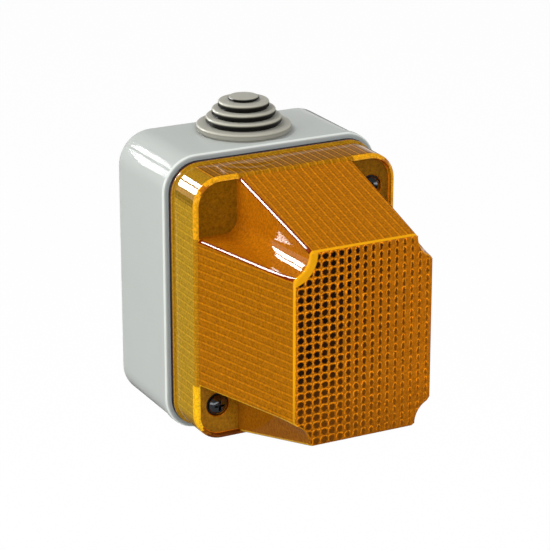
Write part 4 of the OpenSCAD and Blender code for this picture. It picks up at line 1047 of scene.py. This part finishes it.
PLUNGER_OUT = 13.8
profile = [(0, 8.2 - PLUNGER_OUT), (1.2, 8.2 - PLUNGER_OUT), (1.4, 8.5 - PLUNGER_OUT), (1.4, 0), (2.9, 0),
           (3.0, 0.1)]
profile += [(3.0, 0.9, 0.3), (2.2, 1.35, 0.6), (1.2, 1.5), (0, 1.5)]
plunger = turned("centre_contact", filleted(profile, 4), from_wall(0, 0, PLUNGER_OUT), OUT, 48)
finish_piece(plunger, "plunger", turned_brass, ["contact_plunger"], 35)
spring_steel = metal("drawn spring steel", "#8f9499", 0.26, 0.05, 0.5, 0.15)
spring = wound_wire("contact_coil_spring", from_wall(0, 0, HOLDER_FLOOR + 0.18), {
    "Turns": 1.6, "Height": PLUNGER_OUT - HOLDER_FLOOR - 0.36, "Radius": 2.15, "Wire Radius": 0.18,
    "Steps": 40, "Sides": 12}, spring_steel)
finish_piece(spring, "box", spring_steel, ["contact_spring"], 60)
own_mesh(spring)
dress(rolled_brass, "holder_tabs")


# ---- Tab connectors
# Push-on receptacles in red PVC sleeves, crimped on the lamp leads. The sleeves are dip-moulded, with
# round edges and a belled mouth towards the lead.
red_sleeve = moulded("red pvc sleeve", "#b8352b", 0.3, 0.05, 0.5, 0.01)
sleeves = []
for side in (1, -1):
    x, up_low, up_high = side * TAB_X, -16.8, -11.3
    w, t = TAB_W + 1.2, 2.8
    sections = []
    for up, grow_by in ((up_low, -0.25), (up_low + 0.15, 0), (up_low + 1.4, 0), (up_low + 2.0, -0.12),
                        (up_high - 0.5, -0.12), (up_high - 0.1, -0.2), (up_high, -0.45)):
        sections.append((up, round_rect(w + 2 * grow_by, t + 2 * grow_by, 1.1 + grow_by, 6)))
    count = len(sections[0][1])
    points = [from_wall(x + dx, up, WIRE_OUT + dy) for up, outline in sections for dx, dy in outline]
    faces = [(s * count + i, s * count + (i + 1) % count, (s + 1) * count + (i + 1) % count,
              (s + 1) * count + i)
             for s in range(len(sections) - 1) for i in range(count)]
    faces += [tuple(range(count)), tuple(range((len(sections) - 1) * count, len(sections) * count))]
    sleeve = solid("sleeve", points, faces)
    half = TAB_W / 2 + 0.05
    mouth = [(x - half, -13.4), (x + half, -13.4), (x + half, -11), (x - half, -11)]
    carve(sleeve, cut=[loft("mouth", [(WIRE_OUT - TAB_T / 2 - 0.05, mouth),
                                      (WIRE_OUT + TAB_T / 2 + 0.05, mouth)])])
    sleeves.append(sleeve)
sleeves[0].name = "connector_sleeves"
finish_piece(gathered(sleeves[0], sleeves[1:]), "box", red_sleeve, ["tab_connectors"],
             40)


# ---- Lamp
# Small filament lamp with a screw base: a brass cap with a rolled round thread, a ring of black glass that
# insulates its solder button, and a blown clear bulb round a pressed glass stem, which carries two
# wires and a coiled coil.
TIP_OUT, CAP_OUT, CAP_H, CAP_T = 15.35, 19.75, 15.4, 0.3
GLASS_OUT, GLASS_T, NECK_R, BULB_R, LAMP_END = 27.75, 0.8, 5.67, 13.0, 69.35
profile = [(0, 0), (1.2, 0.06), (2.1, 0.35), (2.7, 0.85), (2.95, 1.35), (3.0, 2.4), (0, 2.4)]
solder = metal("lead-free solder", "#b4b2aa", 0.3, 0.5, 1.0, 0.4)
tip = turned("solder_button", profile, from_wall(0, 0, TIP_OUT), OUT, 40)
finish_piece(tip, "lamp_slide", solder, ["lamp_tip"], 60)

profile = [(3.05, 0), (3.5, 0.05, 0.1), (3.95, 0.3, 0.3), (5.75, 2.3, 0.4), (5.9, 2.7, 0.2), (5.9, 3.4),
           (3.05, 3.4)]
insulator = turned("cap_insulator_ring", filleted(profile, 4), from_wall(0, 0, CAP_OUT - 3.4), OUT, 56)
black_glass = moulded("black pressed glass", "#141416", 0.08, 0.05, 0.8, 0.01)
finish_piece(insulator, "lamp", black_glass, ["cap_insulator"], 40)

cap = rolled_thread("lamp_cap_rolled", CAP_OUT, CAP_OUT + CAP_H, CAP_R, THREAD_DEPTH, CAP_T, 2.0)
cap_brass = metal("bright rolled brass", "#dcc07a", 0.16, 0.2, 2.0, 0.2)
finish_piece(cap, "lamp", cap_brass, ["lamp_cap"], 50)

BULB_OUT, FLARE = LAMP_END - BULB_R, radians(35)


def bulb_line(inset):
    """Outline of the blown bulb from its neck to the middle of its end, set in by inset."""
    ball, neck = BULB_R - inset, NECK_R - inset
    touch = (ball * cos(FLARE), BULB_OUT - ball * sin(FLARE))
    flare_h = (touch[0] - neck) / tan(FLARE)
    line = filleted([(neck, GLASS_OUT + inset), (neck, touch[1] - flare_h, 6.0), touch], 10)
    arc = [(ball * cos(a),
            BULB_OUT + ball * sin(a)) for a in (-FLARE + (pi / 2 + FLARE) * k / 32 for k in range(1, 33))]
    return line + arc[:-1] + [(0, BULB_OUT + ball)]


profile = [(0, GLASS_OUT),
           (NECK_R - 0.5, GLASS_OUT)] + bulb_line(0) + list(reversed(bulb_line(GLASS_T))) + [(0,
           GLASS_OUT + GLASS_T)]
bulb = turned("lamp_bulb", profile, centre, OUT, 72)


def blown_glass(name, tint, waviness):
    """Clear glass with the faint waves that blowing or pressing leaves."""
    made, tree = new_material(name)
    place = add(tree, "ShaderNodeTexCoord").outputs["Object"]
    waves = add(tree, "ShaderNodeTexNoise", {"Vector": place, "Scale": 110.0, "Detail": 1.0})
    bump = add(tree, "ShaderNodeBump", {"Height": waves.outputs[0], "Distance": waviness * MM})
    haze = add(tree, "ShaderNodeMapRange", {"Value": waves.outputs[0], "To Min": 0.0, "To Max": 0.03})
    surface = add(tree, "ShaderNodeBsdfPrincipled",
                  {"Base Color": srgb(tint), "Roughness": haze.outputs[0], "IOR": 1.5,
                                                     "Transmission Weight": 1.0, "Normal": bump.outputs[0]})
    add(tree, "ShaderNodeOutputMaterial", {"Surface": surface.outputs[0]})
    return made


clear_glass = blown_glass("blown soda-lime glass", "#f6f8f4", 0.02)
finish_piece(bulb, "lamp", clear_glass, ["lamp_glass"], 60)

STEM_OUT = GLASS_OUT + GLASS_T
profile = [(0, 0.05), (4.6, 0.05), (4.75, 0.2, 0.1), (4.2, 0.9, 0.8), (2.2, 3.6, 2.5), (1.8, 5.5, 2.0),
           (1.8, 9.6), (1.75, 11.0, 0.5), (1.1, 11.6, 0.5), (0, 11.6)]
stem = turned("glass_stem", filleted(profile, 6), from_wall(0, 0, STEM_OUT), OUT, 40)
finish_piece(stem, "lamp", blown_glass("pressed lead glass", "#eef4f0", 0.05), ["lamp_stem"],
             50)

support_wire = metal("nickel-plated lamp wire", "#9a9a96", 0.3, 0.05, 0.5, 0.2)
dress(support_wire, "lamp_wires")

# The filament: a close coil that follows a half circle between the wires' ends
loop, given = new_tree("coiled_coil", [("Reach", "Float"), ("Coil Radius", "Float"),
                                       ("Wire Radius", "Float"), ("Coils", "Float"),
                                       ("Steps", "Int")])
line = add(loop, "GeometryNodeCurvePrimitiveLine", {"Start": (0, 0, 0), "End": (0, 0, 1.0)})
points = add(loop, "GeometryNodeResampleCurve", {"Curve": line.outputs[0], "Count": given["Steps"]})
along = add(loop, "GeometryNodeSplineParameter").outputs["Factor"]
phase = add(loop, "ShaderNodeMath", {0: along, 1: given["Coils"]}, operation="MULTIPLY")
phase = add(loop, "ShaderNodeMath", {0: phase.outputs[0], 1: 2 * pi}, operation="MULTIPLY")
outwards = add(loop, "ShaderNodeMath", {0: phase.outputs[0]}, operation="COSINE")
outwards = add(loop, "ShaderNodeMath", {0: outwards.outputs[0], 1: given["Coil Radius"], 2: given["Reach"]},
               operation="MULTIPLY_ADD")
sideways = add(loop, "ShaderNodeMath", {0: phase.outputs[0]}, operation="SINE")
sideways = add(loop, "ShaderNodeMath", {0: sideways.outputs[0], 1: given["Coil Radius"]},
               operation="MULTIPLY")
angle = add(loop, "ShaderNodeMath", {0: along, 1: pi}, operation="MULTIPLY")
cosine = add(loop, "ShaderNodeMath", {0: angle.outputs[0]}, operation="COSINE")
sine = add(loop, "ShaderNodeMath", {0: angle.outputs[0]}, operation="SINE")
bow_x = add(loop, "ShaderNodeMath", {0: cosine.outputs[0], 1: outwards.outputs[0]}, operation="MULTIPLY")
bow_out = add(loop, "ShaderNodeMath", {0: sine.outputs[0], 1: outwards.outputs[0]}, operation="MULTIPLY")
bow_y = add(loop, "ShaderNodeMath", {0: bow_out.outputs[0], 1: -1.0}, operation="MULTIPLY")
bent = add(loop, "ShaderNodeCombineXYZ", {"X": bow_x.outputs[0], "Y": bow_y.outputs[0],
                                          "Z": sideways.outputs[0]})
course = add(loop, "GeometryNodeSetPosition", {"Geometry": points.outputs[0], "Position": bent.outputs[0]})
wire = add(loop, "GeometryNodeCurvePrimitiveCircle", {"Resolution": 6, "Radius": given["Wire Radius"]})
wound = add(loop, "GeometryNodeCurveToMesh", {"Curve": course.outputs[0], "Profile Curve": wire.outputs[0],
                                              "Fill Caps": True})
real = add(loop, "GeometryNodeRealizeInstances", {"Geometry": wound.outputs[0]})
done = add(loop, "GeometryNodeSetMaterial", {"Geometry": real.outputs[0], "Material": given["Material"]})
add(loop, "NodeGroupOutput", {"Geometry": done.outputs[0]})

tungsten = metal("drawn tungsten", "#6c6c6a", 0.35, 0.05, 0.5, 0.1)
WIRES_FROM, WIRE_LEAN = STEM_OUT + 11.6, radians(22)
wire_l = BULB_OUT - WIRES_FROM
reach = 0.8 + wire_l * sin(WIRE_LEAN)
filament = solid("filament_coil", [Vector((0, 0, 0)), Vector((MM, 0, 0)), Vector((0, 0, MM))], [(0, 1, 2)])
grow(filament, loop, {"Reach": reach * MM, "Coil Radius": 0.22 * MM, "Wire Radius": 0.07 * MM,
                      "Coils": 58.0, "Steps": 700, "Material": tungsten})
filament.data.transform(Matrix.Translation(from_wall(0, 0, WIRES_FROM + wire_l * cos(WIRE_LEAN) + 0.3)))
outward(filament.data)
finish_piece(filament, "lamp", tungsten, ["filament"], 60)


# ---- Terminal block
# Two-pole block moulded in natural polyamide, slightly milky, screwed to a post of the box. Each pole is a
# drawn brass tube with two slotted steel screws in round wells.
BLOCK_X, BLOCK_W, BLOCK_H, BLOCK_OUT, BLOCK_T, POLE, CLAMP_UP = 23.0, 14.4, 18.0, 5.0, 12.0, 4.2, 4.5
outline = [(BLOCK_X + x, up) for x, up in round_rect(BLOCK_W, BLOCK_H, 0.8, 5)]
inner_line = [(BLOCK_X + x, up) for x, up in round_rect(BLOCK_W - 0.8, BLOCK_H - 0.8, 0.5, 5)]
top = BLOCK_OUT + BLOCK_T
block = loft("terminal_block_moulding", [(BLOCK_OUT, outline), (top - 0.4, outline), (top, inner_line)])
wells = []
for pole in (-1, 1):
    x = BLOCK_X + pole * POLE
    wells.append(turned("way", [(0, 0), (3.1, 0), (2.55, 1.2), (2.55, 18.8), (3.1, 20), (0, 20)],
                        from_wall(x, -10, WIRE_OUT), (0, 0, 1), 40))
    for end in (-1, 1):
        wells.append(turned("well", [(0, 0), (2.1, 0), (2.1, top - WIRE_OUT - 0.4),
                                     (2.5, top - WIRE_OUT + 0.1), (0, top - WIRE_OUT + 0.1)],
                            from_wall(x, end * CLAMP_UP, WIRE_OUT), OUT, 40))
wells.append(turned("hole", [(0, 0), (1.25, 0), (1.25, 20), (0, 20)], from_wall(BLOCK_X, 0, BLOCK_OUT - 1),
                    OUT, 32))
step = [(BLOCK_X - 0.9, -10), (BLOCK_X + 0.9, -10), (BLOCK_X + 0.9, -2.4), (BLOCK_X - 0.9, -2.4)]
for mirrored in (step, [(x, -up) for x, up in step]):
    wells.append(loft("barrier", [(top - 2.0, mirrored), (top + 1, mirrored)]))
carve(block, cut=wells)
block_plastic = moulded("natural polyamide moulding", "#dcd8ca", 0.38, 0.03, 0.4, 0.006)
finish_piece(block, "box", block_plastic, ["terminal_block"], 35)
dress(turned_brass, "terminal_tubes")


def slotted(name, x, up, out, shank, length, head, head_h, slot):
    """Small slotted cheese-head screw, its head's underside at out."""
    profile = [(0, -length), (shank - 0.3, -length), (shank, -length + 0.4, 0.1), (shank, 0),
               (head - 0.1, 0), (head, 0.1), (head, head_h - 0.25, 0.2), (head - 0.3, head_h), (0, head_h)]
    made = turned(name, filleted(profile, 4), from_wall(x, up, out), OUT, 32)
    cut = [(x - head - 1, up - slot / 2), (x + head + 1, up - slot / 2), (x + head + 1, up + slot / 2),
           (x - head - 1, up + slot / 2)]
    return carve(made, cut=[loft("slot", [(out + head_h - 0.8, cut), (out + head_h + 1, cut)])])


block_fixing = slotted("block_fixing_screw", BLOCK_X, 0, top, 1.2, 14.2, 1.9, 1.4, 0.5)
finish_piece(block_fixing, "box", zinc_steel, ["block_screw"], 30)
for end, place in ((1, "supply"), (-1, "lamp")):
    for pole, lead in ((-1, "live"), (1, "neutral")):
        node = place + "_screw_" + lead
        clamp = slotted(node + "_slotted", BLOCK_X + pole * POLE, end * CLAMP_UP, 12.6, 1.2, 2.5, 1.8, 1.5,
                        0.5)
        finish_piece(clamp, node, zinc_steel, [node], 30)


# ---- Leads
# Two short lamp leads with smooth PVC insulation, brown and blue, bent by hand from the block round to the
# holder's tabs. Their stripped copper ends show where they enter the block.
def lead_skin(name, colour):
    """Extruded PVC insulation, with bare copper where the lead is stripped."""
    made, tree = new_material(name)
    place = add(tree, "ShaderNodeTexCoord").outputs["Object"]
    drift = add(tree, "ShaderNodeTexNoise", {"Vector": place, "Scale": 300.0, "Detail": 2.0})
    shade = add(tree, "ShaderNodeMapRange", {"Value": drift.outputs[0], "To Min": 0.92, "To Max": 1.08})
    tint = add(tree, "ShaderNodeVectorMath", {0: srgb(colour)[:3], "Scale": shade.outputs[0]},
               operation="SCALE")
    copper = add(tree, "ShaderNodeVectorMath", {0: srgb("#c77b52")[:3], "Scale": shade.outputs[0]},
                 operation="SCALE")
    up = add(tree, "ShaderNodeSeparateXYZ", {0: place})
    bare = add(tree, "ShaderNodeMath", {0: up.outputs["Z"], 1: -8.39 * MM}, operation="GREATER_THAN")
    both = add(tree, "ShaderNodeMix", {"Factor": bare.outputs[0], "A": tint.outputs[0],
                                       "B": copper.outputs[0]}, data_type="VECTOR")
    gloss = add(tree, "ShaderNodeMapRange", {"Value": drift.outputs[0], "To Min": 0.3, "To Max": 0.4})
    surface = add(tree, "ShaderNodeBsdfPrincipled",
                  {"Base Color": both.outputs["Result"], "Metallic": bare.outputs[0],
                                                     "Roughness": gloss.outputs[0]})
    add(tree, "ShaderNodeOutputMaterial", {"Surface": surface.outputs[0]})
    return made


dress(lead_skin("brown pvc insulation", "#6e4024"), "lead_live")
dress(lead_skin("blue pvc insulation", "#2f62a8"), "lead_neutral")
